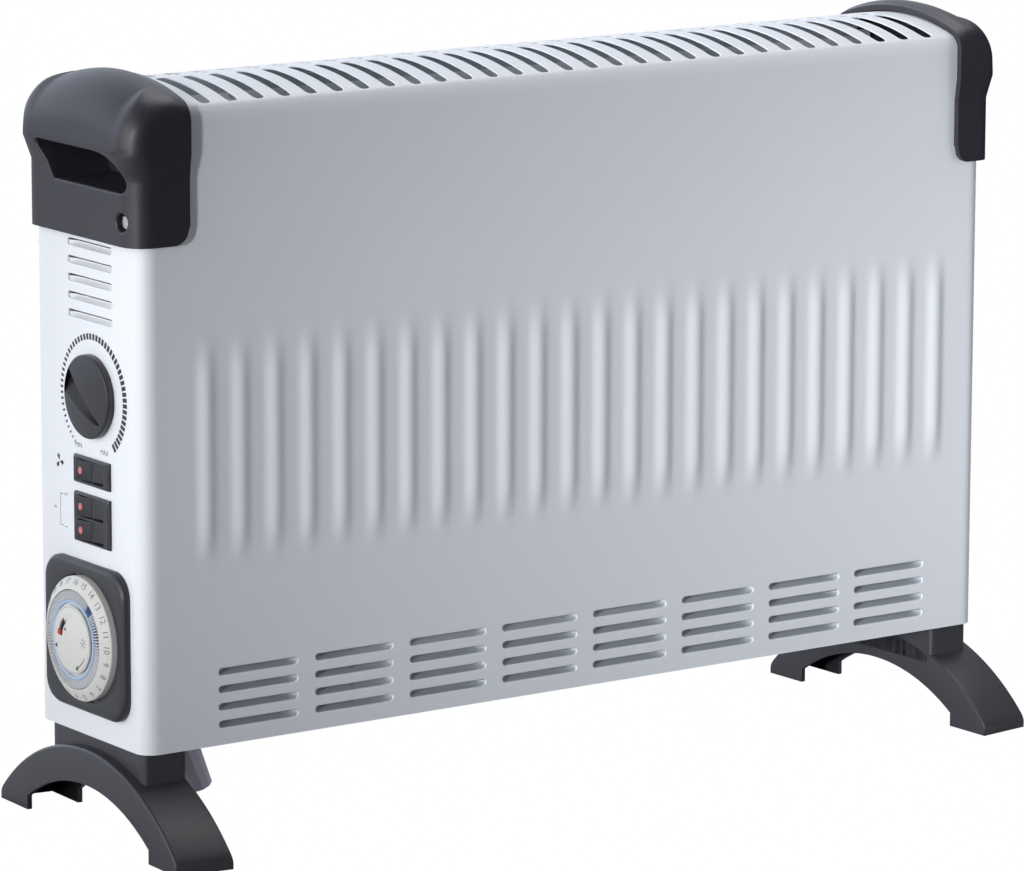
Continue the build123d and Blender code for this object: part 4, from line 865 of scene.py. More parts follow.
# Lower edge, rear end, upper edge and the tapering front end
GRIP_SIDES = [
    np.array([[9.0, GRIP_LOW], [72.5, GRIP_LOW]]),
    np.vstack([arc((72.0, GRIP_LOW + 2), 2, 270, 328, 4), arc((83.4, GRIP_HIGH - 2), 2, 328, 450, 7)]),
    np.array([[83.4, GRIP_HIGH], [30.0, GRIP_HIGH], [24.0, GRIP_HIGH - 0.4], [18.0, GRIP_HIGH - 1.6]]),
    np.array([
        [18.0, GRIP_HIGH - 1.6], [12.5, 296.2], [8.0, 292.2], [5.6, 288.6], [5.0, 286.4], [5.3, 284.4],
        [6.6, 282.7], [9.0, GRIP_LOW],
    ]),
]
SKIRT_RISE, SKIRT_POINTS = 275.0, 400
way_lines = np.linspace(0, way_knots[-1], SKIRT_POINTS)
skirt = cap_skin(way_lines, np.full(SKIRT_POINTS, SKIRT_RISE), np.zeros(SKIRT_POINTS))
end_side = (way_lines > way_knots[1] - 1) & (way_lines < way_knots[4] + 1)


def way_of(y):
    """Way round the plan at a depth on the end face, read on the lower skirt."""
    return np.interp(y, skirt[end_side, 1], way_lines[end_side])


def along(path, share):
    """Points at shares 0 to 1 of a polyline's length."""
    run = run_along(path)
    return np.column_stack([np.interp(share * run[-1], run, path[:, axis]) for axis in (0, 1)])


def grip_hole(square):
    """Sends the four sides of a square to the four sides of the grip."""
    across, up = square.T
    sides = [
        (across <= -1, (1 - up) / 2), (up >= 1, (1 - across) / 2), (across >= 1, (up + 1) / 2),
        (up <= -1, (across + 1) / 2),
    ]
    points = np.zeros(square.shape)
    for path, (chosen, share) in zip(GRIP_SIDES[::-1], sides):
        points[chosen] = along(path, share[chosen])
    return np.column_stack([way_of(points[:, 0]), points[:, 1]])


def well_hole(square):
    """Sends a square to the circle of the screw well."""
    circle = circle_like(square, SCREW_WELL)
    return np.column_stack([way_of(SCREW_BACK + circle[:, 0]), SCREW_RISE + circle[:, 1]])


def pocket(loop, depth_x, draft=0.0, steps=6):
    """Wall from a loop inward along X to a depth, drawn in by the draft, closed by a flat floor."""
    shares = np.linspace(0, 1, steps + 1)[:, None, None]
    hub = loop.mean(axis=0)
    floor_loop = hub + (loop - hub) * (1 - draft)
    floor_loop[:, 0] = depth_x
    points, faces = grid(loop + (floor_loop - loop) * shares, wrap_v=True)
    return points, faces + [list(range(len(points) - len(loop), len(points)))]


print("grip:", GRIP_DEPTH, "mm deep; skirt of", len(way_lines), "points")

# %% [markdown]
# ### The cap's skin, pockets and turned edges
#
# A moulding shows its wall where it ends. So the skin turns in along the flange and along the lower edge
# by 3 mm, over a small rounding. The right cap is the same moulding the other way round, a little
# narrower, because its flange wraps less of the sheet.

# %% Cap mesh
EDGE_DEPTHS, EDGE_OUT = (0, -0.15, -0.5, -3.2), (0, 0.35, 0.5, 0.5)
RIGHT_SQUEEZE = 0.77
cap_ways = samples(0, way_knots[-1], [
    (way_of(GRIP_SPAN[0]), way_of(GRIP_SPAN[1]), 44), (0, way_knots[1], 8), (way_knots[1], way_knots[2], 16),
    (way_knots[3], way_knots[4], 12), (way_of(WELL_SPAN[0]), way_of(WELL_SPAN[1]), 4),
], 2.0, least=0.25)
cap_up_spans = [(*GRIP_ROWS, 12), (*WELL_ROWS, 8), (SPINE, FAN_END, 16)]
cap_ups = samples(CAP_RISE, ROOF_END, cap_up_spans, 2.5, least=0.3)
grip_window = window(cap_ways, cap_ups, [way_of(y) for y in GRIP_SPAN], GRIP_ROWS, grip_hole)
well_window = window(cap_ways, cap_ups, [way_of(y) for y in WELL_SPAN], WELL_ROWS, well_hole)
cap_parts = [holed_sheet(cap_ways, cap_ups, [grip_window, well_window], cap_skin, roll=LIP, depth=LIP)]
for (i0, i1, j0, j1, outline), depth_x, draft in (
    (grip_window, GRIP_DEPTH, GRIP_DRAFT), (well_window, WELL_FLOOR, 0.0),
):
    hole = outline(window_ring(i1 - i0, j1 - j0))
    cap_parts.append(pocket(cap_skin(hole[:, 0], hole[:, 1], np.full(len(hole), -LIP)), depth_x, draft))
fan_ups = cap_ups[cap_ups <= FAN_END]
edge_way = np.concatenate([np.zeros(len(fan_ups)), cap_ways, np.full(len(fan_ups), way_knots[-1])])
edge_up = np.concatenate([fan_ups, np.full(len(cap_ways), ROOF_END), fan_ups[::-1]])
flange_strips = [
    cap_skin(edge_way, edge_up, np.full(len(edge_way), depth)) + (out, 0, 0)
    for depth, out in zip(EDGE_DEPTHS, EDGE_OUT)
]
lower_strips = [
    cap_skin(cap_ways, np.full(len(cap_ways), CAP_RISE), np.full(len(cap_ways), depth))
    for depth in EDGE_DEPTHS
]
cap_parts += [grid(np.array(flange_strips)), grid(np.array(lower_strips))]


def other_end(parts):
    """The same parts for the right end: x becomes L - q x."""
    return [(points * (-RIGHT_SQUEEZE, 1, 1) + (BODY_LENGTH, 0, 0), faces) for points, faces in parts]


left_cap = build("left_cap", cap_parts, CHARCOAL, node="left_end_cap", angle=42)
build("right_cap", other_end(cap_parts), CHARCOAL, node="right_end_cap", angle=42)
print("cap faces:", len(left_cap.data.polygons))

# %% [markdown]
# ## Feet
#
# A foot is one thin moulding: an arch whose toes carry the weight, hollow and open below, with a column
# that the body is screwed to. The arch is the same rounded channel everywhere, only its height changes
# along the length, so it is a section carried along a line. A bevelled solid would round all of its
# edges alike, while here only the shoulders are round and the rims stay flat, as they left the mould.
# Both toes slant a little and the foot is turned out by two degrees.

# %% Arched feet
FOOT_HEIGHT, FOOT_WIDTH, FOOT_HALF, FOOT_INSET, TOE_OUT, TOE_SLANT = 52.0, 31.0, 91.0, 13.3, 2.0, 3.0
ARCH_RISE, ARCH_RADIUS, UNDER_RISE, UNDER_RADIUS = 45.0, 126.0, 26.5, 113.0
TOE_START, TOE_ROUND, TOE_DROP = 63.0, 2.0, 0.6
FOOT_WALL, FOOT_EDGE, SHOULDER_STEPS = 2.6, 1.6, 6
COLUMN_STEP, COLUMN_DEPTH, COLUMN_CORNER = 6.0, 95.0, 3.0
COLUMN_RISES = (UNDER_RISE + 5, 40.0, 46.0, FOOT_HEIGHT)
TOE_STEPS, SPAN_STEPS = 13, 61
foot_low, foot_high = box_mm("left_foot")
FOOT_MIDDLE = float((foot_low[1] + foot_high[1]) / 2 - CORNER[1])


def arch_rise(y, rise, radius):
    """Height of an arc over the floor: rise - r + sqrt(r^2 - y^2)."""
    return rise - radius + np.sqrt(np.maximum(radius**2 - y**2, 0))


def channel(wide, top, low, edge):
    """Open section of the arch: outer skin rim to rim with rounded shoulders, then the inner skin back."""
    half = wide / 2
    edge = np.minimum(edge, (top - low) * 0.45)
    turn = np.radians(np.linspace(0, 90, SHOULDER_STEPS))
    shoulder = [(half - edge * (1 - math.cos(a)), top - edge * (1 - math.sin(a))) for a in turn]
    columns = [(-half, low), *[(-across, rise) for across, rise in shoulder], *shoulder[::-1], (half, low)]
    inner, roof_low = half - FOOT_WALL, np.maximum(top - FOOT_WALL, low + 0.3)
    columns += [(inner, low), (inner, roof_low), (-inner, roof_low), (-inner, low)]
    rows = [np.stack(np.broadcast_arrays(across, rise), axis=-1) for across, rise in columns]
    return np.stack(rows, axis=1)


def foot_parts(side):
    """Arch with its toes, and column, of one foot in the body frame; side is -1 for the left one."""
    toe = np.linspace(TOE_START + 0.01, FOOT_HALF - TOE_ROUND, TOE_STEPS)
    toe = np.append(toe, [FOOT_HALF - 1, FOOT_HALF - 0.3, FOOT_HALF])
    ys = np.concatenate([-toe[::-1], np.linspace(-TOE_START, TOE_START, SPAN_STEPS), toe])
    low = np.where(np.abs(ys) > TOE_START, 0.0, arch_rise(ys, UNDER_RISE, UNDER_RADIUS))
    past = TOE_ROUND - np.clip(FOOT_HALF - np.abs(ys), 0, TOE_ROUND)
    rounding = TOE_ROUND - np.sqrt(np.maximum(TOE_ROUND**2 - past**2, 0))
    top = arch_rise(ys, ARCH_RISE, ARCH_RADIUS) - rounding * TOE_DROP
    section = channel(FOOT_WIDTH, top, low, FOOT_EDGE)
    slant = -TOE_SLANT / FOOT_WIDTH * section[..., 0] * (np.abs(ys) / FOOT_HALF)[:, None]
    skin = np.stack([section[..., 0] * -side, ys[:, None] + slant, section[..., 1]], axis=-1)
    arch, faces = grid(skin, wrap_v=True)
    # Both end faces are flat and close the outer skin
    outer, last = 2 * SHOULDER_STEPS + 2, len(arch) - section.shape[1]
    faces += [list(range(outer)), list(range(last, last + outer))]
    column_half = ((FOOT_WIDTH - COLUMN_STEP) / 2, COLUMN_DEPTH / 2)
    plan = rounded_hole((COLUMN_STEP / 2, 0), column_half, COLUMN_CORNER)(window_ring(12, 30)) * (-side, 1)
    loops = [np.column_stack([plan, np.full(len(plan), rise)]) for rise in COLUMN_RISES]
    column = grid(np.array(loops), wrap_v=True)
    edge_x = (BODY_LENGTH if side > 0 else 0) - side * FOOT_INSET
    stand = turned(side * TOE_OUT, (edge_x, FOOT_MIDDLE, -FOOT_HEIGHT))
    return [moved((arch, faces), stand), moved(column, stand)]


left_foot = build("left_foot_shell", foot_parts(-1), FOOT, node="left_foot", angle=40)
build("right_foot_shell", foot_parts(1), FOOT, node="right_foot", angle=40)
print("foot spans", FOOT_MIDDLE, "mm behind the front;", len(left_foot.data.polygons), "faces")

# %% [markdown]
# ## Things on the left end
#
# The controls sit on the end panel, so their sizes read best as one sees them: U to the right, toward the
# front, V up, and W out of the panel. One matrix stands each of them on the steel. Printing lies a hair
# out of its surface, as ink does.

# %% A frame on the left end, and flat marks
INK = 0.03


def facing(back, rise, angle=0.0, out=0.0):
    """Matrix from (u, v, w) on the left end to the body frame, turned by an angle as one sees it."""
    stand = np.array([[0, 0, -1, 0], [-1, 0, 0, back], [0, 1, 0, rise], [0, 0, 0, 1.0]])
    return stand @ turned(angle, (0, 0, out))


def flat(outline, out=INK):
    """A filled outline of rows (u, v), a hair out of its surface."""
    outline = np.asarray(outline, float)
    return np.column_stack([outline, np.full(len(outline), out)]), [list(range(len(outline)))]


def bar(start, end, wide):
    """Flat straight stroke between two places (u, v)."""
    start, end = np.asarray(start, float), np.asarray(end, float)
    ahead_way = (end - start) / np.linalg.norm(end - start)
    across = np.array([-ahead_way[1], ahead_way[0]]) * wide / 2
    return flat([start - across, end - across, end + across, start + across])


def lettering(text, size, matrix, out=INK):
    """Points and faces of a word, set by a matrix and a hair out of its surface."""
    curve = bpy.data.curves.new("word", "FONT")
    curve.body = text
    curve.size = size
    curve.align_x, curve.align_y = "CENTER", "CENTER"
    curve.resolution_u = 3
    carrier = bpy.data.objects.new("word", curve)
    mesh = bpy.data.meshes.new_from_object(carrier)
    points = np.empty(len(mesh.vertices) * 3)
    mesh.vertices.foreach_get("co", points)
    faces = [list(face.vertices) for face in mesh.polygons]
    bpy.data.objects.remove(carrier)
    bpy.data.meshes.remove(mesh)
    return moved((points.reshape(-1, 3) + (0, 0, out), faces), matrix)


def printed(name, parts, material, body="body"):
    """Flat printing on a part of the heater; it needs no smoothing."""
    return build(name, parts, material, body=body, angle=10)


# %% [markdown]
# ## Thermostat knob
#
# The knob is a shallow dome with one finger scoop, whose steep side is the blade that one turns it by.
# The dome is a height over the disc and the scoop is taken from it: upright beside the blade, rising
# softly outward and open at the rim. A Boolean scoop would leave a hard rim all round, and sculpting
# would hide the sizes. The scoop's faces get a finish of their own, more matt, and near black as painted
# shade in the hollow.

# %% Knob
KNOB_RADIUS, KNOB_RIM, KNOB_DOME, KNOB_EDGE, KNOB_TURNS, KNOB_RINGS = 21.1, 3.8, 1.6, 0.8, 192, 64
SCOOP_DEPTH, SCOOP_WIDTH, SCOOP_END, BLADE_HALF = 3.6, 16.0, 18.5, 0.6
BLADE_ANGLE, KNOB_GAP = 40.0, 0.4
# Near black on a rougher skin: painted shade for the knob's scoop
SCOOP_PAINTED_SHADE = finish("knob_scoop_painted_shade", (0.002, 0.002, 0.0025), 0.5, grain=1200, bump=0.15)


def scoop_share(u, v):
    """Scoop under the blade, 0 to 1: open at the rim where u is least, width w ((a - u) / (a + R))^0.6."""
    taper = np.clip((SCOOP_END - u) / (SCOOP_END + KNOB_RADIUS), 0, 1)**0.6
    across = (-v - BLADE_HALF) / np.maximum(SCOOP_WIDTH * taper, 0.01)
    return smoothstep(0, 0.12, across) * (1 - smoothstep(0.25, 1.0, across)) * (taper > 0)


def knob_height(u, v):
    """Dome h0 + h1 (1 - r^2 / R^2) less the scoop."""
    radius = np.hypot(u, v) / KNOB_RADIUS
    return KNOB_RIM + KNOB_DOME * (1 - radius**2) - SCOOP_DEPTH * scoop_share(u, v)


face_rim = KNOB_RADIUS - KNOB_EDGE
around = np.linspace(0, 2 * np.pi, KNOB_TURNS, endpoint=False)
turns, shares = np.meshgrid(around, np.linspace(0, 1, KNOB_RINGS), indexing="ij")
face_u, face_v = face_rim * shares * np.cos(turns), face_rim * shares * np.sin(turns)
knob_face = grid(np.stack([face_u, face_v, knob_height(face_u, face_v)], axis=-1), wrap_u=True)
rim_profile = np.vstack([
    [[face_rim, KNOB_RIM + KNOB_DOME * (1 - (face_rim / KNOB_RADIUS)**2)]],
    arc((face_rim, KNOB_RIM - 0.7), KNOB_EDGE, 80, 0, 6),
    [[KNOB_RADIUS, 0.4], [KNOB_RADIUS - 0.4, 0.0], [0.01, 0.0]],
])
knob_place = facing(KNOB_BACK, KNOB_RISE, -BLADE_ANGLE, KNOB_GAP)
knob_parts = [moved(knob_face, knob_place), moved(revolve(rim_profile, KNOB_TURNS), knob_place)]
knob = build(
    "knob", knob_parts, BLACK, body="thermostat", node="thermostat_knob", angle=50,
)
# Faces in the scoop take the near-black finish, painted shade in the hollow
knob.data.materials.append(SCOOP_PAINTED_SHADE)
centres = np.empty(len(knob.data.polygons) * 3)
knob.data.polygons.foreach_get("center", centres)
centres = centres.reshape(-1, 3) / MM - CORNER
on_knob = np.column_stack([centres, np.ones(len(centres))]) @ np.linalg.inv(knob_place).T
scoop_shade_faces = (scoop_share(on_knob[:, 0], on_knob[:, 1]) > 0.12) & (on_knob[:, 2] > 1.0)
knob.data.polygons.foreach_set("material_index", scoop_shade_faces.astype(np.int32))
print("knob faces:", len(knob.data.polygons), "of which scooped:", int(scoop_shade_faces.sum()))

# %% [markdown]
# ## Switch frames
#
# A rocker switch snaps into the panel from outside, so it has a bezel that hides the edge of the opening.
# The bezel is a plate with a bevelled rim and one window for each rocker. A cube with a bevel and a
# Boolean would do too, but the holed sheet of the casing serves again and rolls the windows' edges over.

# %% Bezels
BEZEL_LENGTH, FAN_BEZEL_HEIGHT, HEAT_BEZEL_HEIGHT = 33.6, 14.0, 25.2
BEZEL_OUT, BEZEL_BEVEL, BEZEL_WALL = 2.2, 0.9, 6.0
WINDOW_HALF, WINDOW_FRAME = (12.3, 5.45), (13.0, 5.9)


def bezel_parts(rise, height, window_rises):
    """Bevelled plate with rectangular windows and a skirt down to the panel."""
    half_u, half_v = BEZEL_LENGTH / 2, height / 2
    frame_u, frame_v = WINDOW_FRAME
    spans_u = [(-half_u, -half_u + BEZEL_BEVEL, 2), (half_u - BEZEL_BEVEL, half_u, 2)]
    spans_u.append((-frame_u, frame_u, 8))
    spans_v = [(-half_v, -half_v + BEZEL_BEVEL, 2), (half_v - BEZEL_BEVEL, half_v, 2)]
    spans_v += [(middle - frame_v, middle + frame_v, 6) for middle in window_rises]
    us, vs = samples(-half_u, half_u, spans_u, 3.0, 0.1), samples(-half_v, half_v, spans_v, 2.0, 0.1)

    def plate(along_u, up_v, height_out):
        """Out of the panel by the thickness, less the bevel near the rim."""
        rim = np.minimum(half_u - np.abs(along_u), half_v - np.abs(up_v))
        out = BEZEL_OUT - np.clip(BEZEL_BEVEL - rim, 0, BEZEL_BEVEL) + height_out
        return np.column_stack([along_u, up_v, out])

    openings = [
        window(us, vs, (-frame_u, frame_u), (middle - frame_v, middle + frame_v),
               rounded_hole((0, middle), WINDOW_HALF, 0.6)) for middle in window_rises
    ]
    rim = rounded_hole((0, 0), (half_u, half_v), 0.01)(window_ring(2, 2))
    skirt_loops = [np.column_stack([rim, np.full(len(rim), out)]) for out in (BEZEL_OUT - BEZEL_BEVEL, 0.0)]
    face = holed_sheet(us, vs, openings, plate, roll=0.3, depth=BEZEL_WALL)
    skirt = grid(np.array(skirt_loops), wrap_v=True)
    return [moved(part, facing(SWITCH_BACK, rise)) for part in (face, skirt)]


for name, node, rise, height, window_rises in (
    ("fan_bezel", "fan_switch_housing", FAN_RISE, FAN_BEZEL_HEIGHT, [0.0]),
    ("heat_bezel", "heat_switch_housing", HEAT_RISE, HEAT_BEZEL_HEIGHT, [-ROCKER_OFFSET, ROCKER_OFFSET]),
):
    bezel = build(name, bezel_parts(rise, height, window_rises), BLACK, node=node)
    print(name, "faces:", len(bezel.data.polygons))

# %% [markdown]
# ## Small mouldings from their solids
#
# Rockers, lever, gland and centre disc are already exact as solids, but a moulded part never has a knife
# edge. A copy of each mesh is welded, its flat faces are joined again, and a small bevel breaks the
# edges.

# %% Softened copies
ROCKERS = (
    ("fan_rocker", "fan_switch", FAN_RISE),
    ("upper_heat_rocker", "upper_heat_switch", HEAT_RISE + ROCKER_OFFSET),
    ("lower_heat_rocker", "lower_heat_switch", HEAT_RISE - ROCKER_OFFSET),
)


def softened(node, material, body, width):
    """Copy of a CAD mesh with joined flats and bevelled edges."""
    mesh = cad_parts[node].data.copy()
    mesh.name = node + "_soft"
    work = bmesh.new()
    work.from_mesh(mesh)
    bmesh.ops.remove_doubles(work, verts=work.verts, dist=1e-6)
    bmesh.ops.dissolve_limit(work, angle_limit=math.radians(1), verts=work.verts, edges=work.edges)
    work.to_mesh(mesh)
    work.free()
    mesh.shade_smooth()
    mesh.materials.clear()
    mesh.materials.append(material)
    piece = bpy.data.objects.new(node + "_soft", mesh)
    bpy.context.scene.collection.objects.link(piece)
    bevel = piece.modifiers.new("edges", "BEVEL")
    bevel.width = width * MM
    bevel.segments = 2
    bevel.limit_method = "ANGLE"
    bevel.angle_limit = math.radians(30)
    bevel.harden_normals = True
    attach(piece, body)
    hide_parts(node)
    return piece


for rocker, body, rise in ROCKERS:
    softened(rocker, BLACK, body, 0.5)

# %% [markdown]
# ### Red dots on the rockers
#
# Each rocker stands at one end of its travel, so one half is raised. The dot is printed on that half,
# which leans by the rocker's tilt and by the slope of its shallow valley.

# %% Dots
DOT_PLACE, DOT_WIDE, DOT_TALL, DOT_POINTS = 8.6, 1.35, 1.9, 24
ROCKER_TILT, VALLEY, PIVOT_OUT, FACE_OUT, DOT_OUT = math.radians(11.0), math.radians(3.86), 0.2, 1.28, 0.06
dot_lean = ROCKER_TILT + VALLEY
dot_x = -PIVOT_OUT - math.sin(ROCKER_TILT) * DOT_PLACE - math.cos(ROCKER_TILT) * FACE_OUT
dot_y = SWITCH_BACK + math.cos(ROCKER_TILT) * DOT_PLACE - math.sin(ROCKER_TILT) * FACE_OUT
ellipse = arc((0, 0), 1, 0, 345, DOT_POINTS) * (DOT_WIDE, DOT_TALL)
for rocker, body, rise in ROCKERS:
    dot = np.column_stack([
        dot_x - math.sin(dot_lean) * ellipse[:, 0] - DOT_OUT, dot_y + math.cos(dot_lean) * ellipse[:, 0],
        rise + ellipse[:, 1],
    ])
    printed(body + "_dot", [(dot, [list(range(DOT_POINTS))])], RED_PRINT, body=body)
softened("timer_override_lever", RED, "timer_override", 0.3)
softened("cord_gland", WHITE, "body", 0.5)

# %% [markdown]
# ## Timer
#
# The timer is a clock: its ring turns once a day past a fixed centre, and carries a tappet for every
# quarter of an hour. Pushed tappets close the switch. A square frame with round corners holds it, with a
# well that the ring turns in.

# %% Timer frame
TIMER_SIZE, TIMER_CORNER, TIMER_OUT, TIMER_BEVEL = 76.5, 13.0, 4.5, 1.6
TIMER_WELL, WELL_OUT, TIMER_SIDE_STEPS = 32.6, 1.6, 36
TIMER_BLACK = finish("timer_bezel", (0.03, 0.031, 0.037), 0.42, grain=1000, bump=0.12, drift=0.08)
timer_place = facing(TIMER_BACK, TIMER_RISE)


def round_square(half, corner):
    """Outline of a rounded square about the middle."""
    return rounded_hole((0, 0), (half, half), corner)(window_ring(TIMER_SIDE_STEPS, TIMER_SIDE_STEPS))


timer_outer = round_square(TIMER_SIZE / 2, TIMER_CORNER)
timer_edge = round_square(TIMER_SIZE / 2 - TIMER_BEVEL, TIMER_CORNER - TIMER_BEVEL)
timer_well = circle_like(timer_edge, TIMER_WELL)
# Loops with their distance out, from the panel over the bevel to the face and down into the well
frame_loops = [(timer_outer, 0.0), (timer_outer, TIMER_OUT - TIMER_BEVEL - 0.3)]
frame_loops += [(timer_outer * 0.997, TIMER_OUT - TIMER_BEVEL), (timer_edge * 1.003, TIMER_OUT - 0.15)]
frame_loops.append((timer_edge * 0.995, TIMER_OUT))
for share in (0.3, 0.6, 1.0):
    frame_loops.append((timer_edge + (timer_well * 1.012 - timer_edge) * share, TIMER_OUT))
frame_loops += [(timer_well * 1.003, TIMER_OUT - 0.15), (timer_well, TIMER_OUT - 0.5)]
frame_loops.append((timer_well, WELL_OUT))
frame_rows = [np.column_stack([loop, np.full(len(loop), out)]) for loop, out in frame_loops]
timer_frame = build(
    "timer_frame", [moved(grid(np.array(frame_rows), wrap_v=True), timer_place)], TIMER_BLACK,
    node="timer_bezel", angle=38,
)
print("timer frame faces:", len(timer_frame.data.polygons))

# %% [markdown]
# ### Hour ring
#
# The ring is turned from a profile: a flank, a lip, the cone with the hours, a channel where the tappets
# stand and an inner rim. One line of points holds the whole ring, which is why turned parts are spun
# and not stacked from cylinders. The cone lets the hours be read from above. They run anticlockwise,
# because the ring itself turns clockwise past the mark.

# %% Hour ring
DIAL_RADIUS, DIAL_EDGE, DIAL_ROUND, DIAL_BACK = 31.8, 7.4, 0.8, 1.9
CONE_TOP, CONE_INNER = 10.8, 25.4
CHANNEL_FLOOR, INNER_RIM, RIM_TOP, HUB_BORE = 4.6, 19.0, 9.6, 15.1
ring_profile = np.vstack([
    [[HUB_BORE, DIAL_BACK], [DIAL_RADIUS - 0.3, DIAL_BACK], [DIAL_RADIUS, DIAL_BACK + 0.3]],
    [[DIAL_RADIUS, DIAL_EDGE - DIAL_ROUND]],
    arc((DIAL_RADIUS - DIAL_ROUND, DIAL_EDGE - DIAL_ROUND), DIAL_ROUND, 0, 62, 5),
    [[CONE_INNER + 0.5, CONE_TOP - 0.35], [CONE_INNER + 0.15, CONE_TOP - 0.3], [CONE_INNER, CONE_TOP - 0.6]],
    [[CONE_INNER, CHANNEL_FLOOR], [INNER_RIM, CHANNEL_FLOOR]],
    [[INNER_RIM, RIM_TOP - 0.2], [INNER_RIM - 0.2, RIM_TOP], [HUB_BORE, RIM_TOP], [HUB_BORE, DIAL_BACK]],
])
hour_ring = build(
    "hour_ring", [moved(revolve(ring_profile, 144), timer_place)], DIAL, body="timer_dial",
    node="timer_number_ring", angle=30,
)
print("hour ring faces:", len(hour_ring.data.polygons))

# %% [markdown]
# ### Hours on the cone
#
# A mark on the cone leans with it. Its matrix has the mark's head outward along the slope and its width
# along the rim. Every hour has its number and a long stroke, and each quarter a short one. An image on
# the ring would blur close up, while flat meshes stay sharp and turn with the body that carries them.

# %% Numbers and strokes
HOUR_STEP, HOUR_ZERO, HOUR_SIZE = 15.0, -150.0, 4.6
NUMBER_SHARE, STROKE_SHARE = 0.36, 0.84  # places between the outer and the inner edge of the cone
CONE_LEAN = math.degrees(math.atan2(CONE_TOP - DIAL_EDGE, DIAL_RADIUS - CONE_INNER))


def on_cone(angle, share):
    """Matrix that lays a mark on the cone at an angle as seen, its head toward the rim of the dial."""
    cosine, sine = toward(angle)
    lean_cosine, lean_sine = toward(CONE_LEAN)
    rim, top = DIAL_RADIUS - 0.4, DIAL_EDGE + 0.1
    radius, out = rim + (CONE_INNER - rim) * share, top + (CONE_TOP - 0.35 - top) * share
    outward = np.array([cosine * lean_cosine, sine * lean_cosine, -lean_sine])
    aside = np.array([sine, -cosine, 0])
    matrix = np.identity(4)
    place = (radius * cosine, radius * sine, out)
    matrix[:3] = np.column_stack([aside, outward, np.cross(aside, outward), place])
    return timer_place @ matrix


hours, strokes = [], []
for hour in range(1, 25):
    seen = HOUR_ZERO + HOUR_STEP * hour
    hours.append(lettering(str(hour), HOUR_SIZE, on_cone(seen, NUMBER_SHARE), out=2 * INK))
    for quarter in range(4):
        tall, wide = (0.8, 0.2) if quarter else (1.5, 0.32)
        points, faces = bar((0, -tall / 2), (0, tall / 2), wide)
        stroke_place = on_cone(seen + HOUR_STEP * quarter / 4, STROKE_SHARE)
        strokes.append(moved((points + (0, 0, INK), faces), stroke_place))
printed("hour_print", hours + strokes, DIAL_PRINT, body="timer_dial")
print("hours:", len(hours), "strokes:", len(strokes))

# %% [markdown]
# ### Tappets and the rings beside them
#
# A tappet is a thin wedge that stands across the channel and slides in and out. All 96 are alike, so one
# is made and set round by its angle. An array modifier could repeat it as well, but a few tappets are
# blue, so they are sorted by their hour as they are made. A coloured ring guides their inner ends.

# %% Tappets
TAPPETS, TAPPET_OUTER, TAPPET_INNER, TAPPET_TOP, TAPPET_HALF = 96, 24.9, 20.2, 10.6, 0.36
TAPPET_END, TAPPET_DROP = 0.3, 0.8  # length and drop of the chamfer at each end
SET_HOURS = (12.8, 13.7)  # the hours whose tappets are blue
TAPPET_GREY = finish("tappet", (0.70, 0.70, 0.73), 0.4, drift=0.04)
wedge_rows = ((1.0, CHANNEL_FLOOR), (0.9, TAPPET_TOP - 0.7), (0.4, TAPPET_TOP))
wedge = [(-TAPPET_HALF * share, out) for share, out in wedge_rows]
wedge += [(-across, out) for across, out in wedge[::-1]]
wedge_across, wedge_out = np.array(wedge).T


def tappet(angle):
    """Thin rounded wedge across the channel."""
    loops = []
    for radius, drop in (
        (TAPPET_INNER, TAPPET_DROP), (TAPPET_INNER + TAPPET_END, 0.0),
        (TAPPET_OUTER - TAPPET_END, 0.0), (TAPPET_OUTER, TAPPET_DROP),
    ):
        lowered = np.where(wedge_out > CHANNEL_FLOOR, wedge_out - drop, wedge_out)
        loops.append(np.column_stack([np.full(len(wedge), radius), wedge_across, lowered]))
    points, faces = grid(np.array(loops), wrap_v=True)
    last = len(points) - len(wedge)
    faces += [list(range(len(wedge))), list(range(last, len(points)))]
    return moved((points, faces), timer_place @ turned(angle))


grey_tappets, blue_tappets = [], []
for number in range(TAPPETS):
    seen = 360 * number / TAPPETS
    hour = (seen - HOUR_ZERO) / HOUR_STEP % 24
    (blue_tappets if SET_HOURS[0] < hour < SET_HOURS[1] else grey_tappets).append(tappet(seen))
for name, parts, material, slot in (
    ("tappets", grey_tappets, TAPPET_GREY, "black_plastic"),
    ("tappets_blue", blue_tappets, BLUE, "blue_plastic"),
):
    build(name, parts, material, body="timer_dial", node="timer_tappets", angle=30)
print("tappets:", len(grey_tappets), "grey and", len(blue_tappets), "blue")

# %% Channel and coloured ring
channel_profile = [(INNER_RIM, CHANNEL_FLOOR + 0.15), (CONE_INNER, CHANNEL_FLOOR + 0.15)]
guide_profile = [
    (INNER_RIM - 0.3, RIM_TOP + 0.02), (INNER_RIM - 0.2, TAPPET_TOP), (INNER_RIM + 1.1, TAPPET_TOP + 0.15),
    (INNER_RIM + 1.3, TAPPET_TOP - 0.1), (INNER_RIM + 1.3, 9.0),
]
channel_floor = moved(revolve(channel_profile), timer_place)
build("channel", [channel_floor], BLACK, body="timer_dial")
guide = moved(revolve(guide_profile, 144), timer_place)
build("blue_ring", [guide], RING_BLUE, body="timer_dial")
softened("timer_centre_disc", DIAL, "body", 0.25)
print("rings:", len(channel_profile), "and", len(guide_profile), "points in section")

# %% [markdown]
# ### Signs on the centre disc
#
# The fixed disc has the mark that the hours pass, an arrow for the way that the ring turns, a sign for
# the heat, a dot and a stroke for the lever's two places, and a fine scale round its edge.

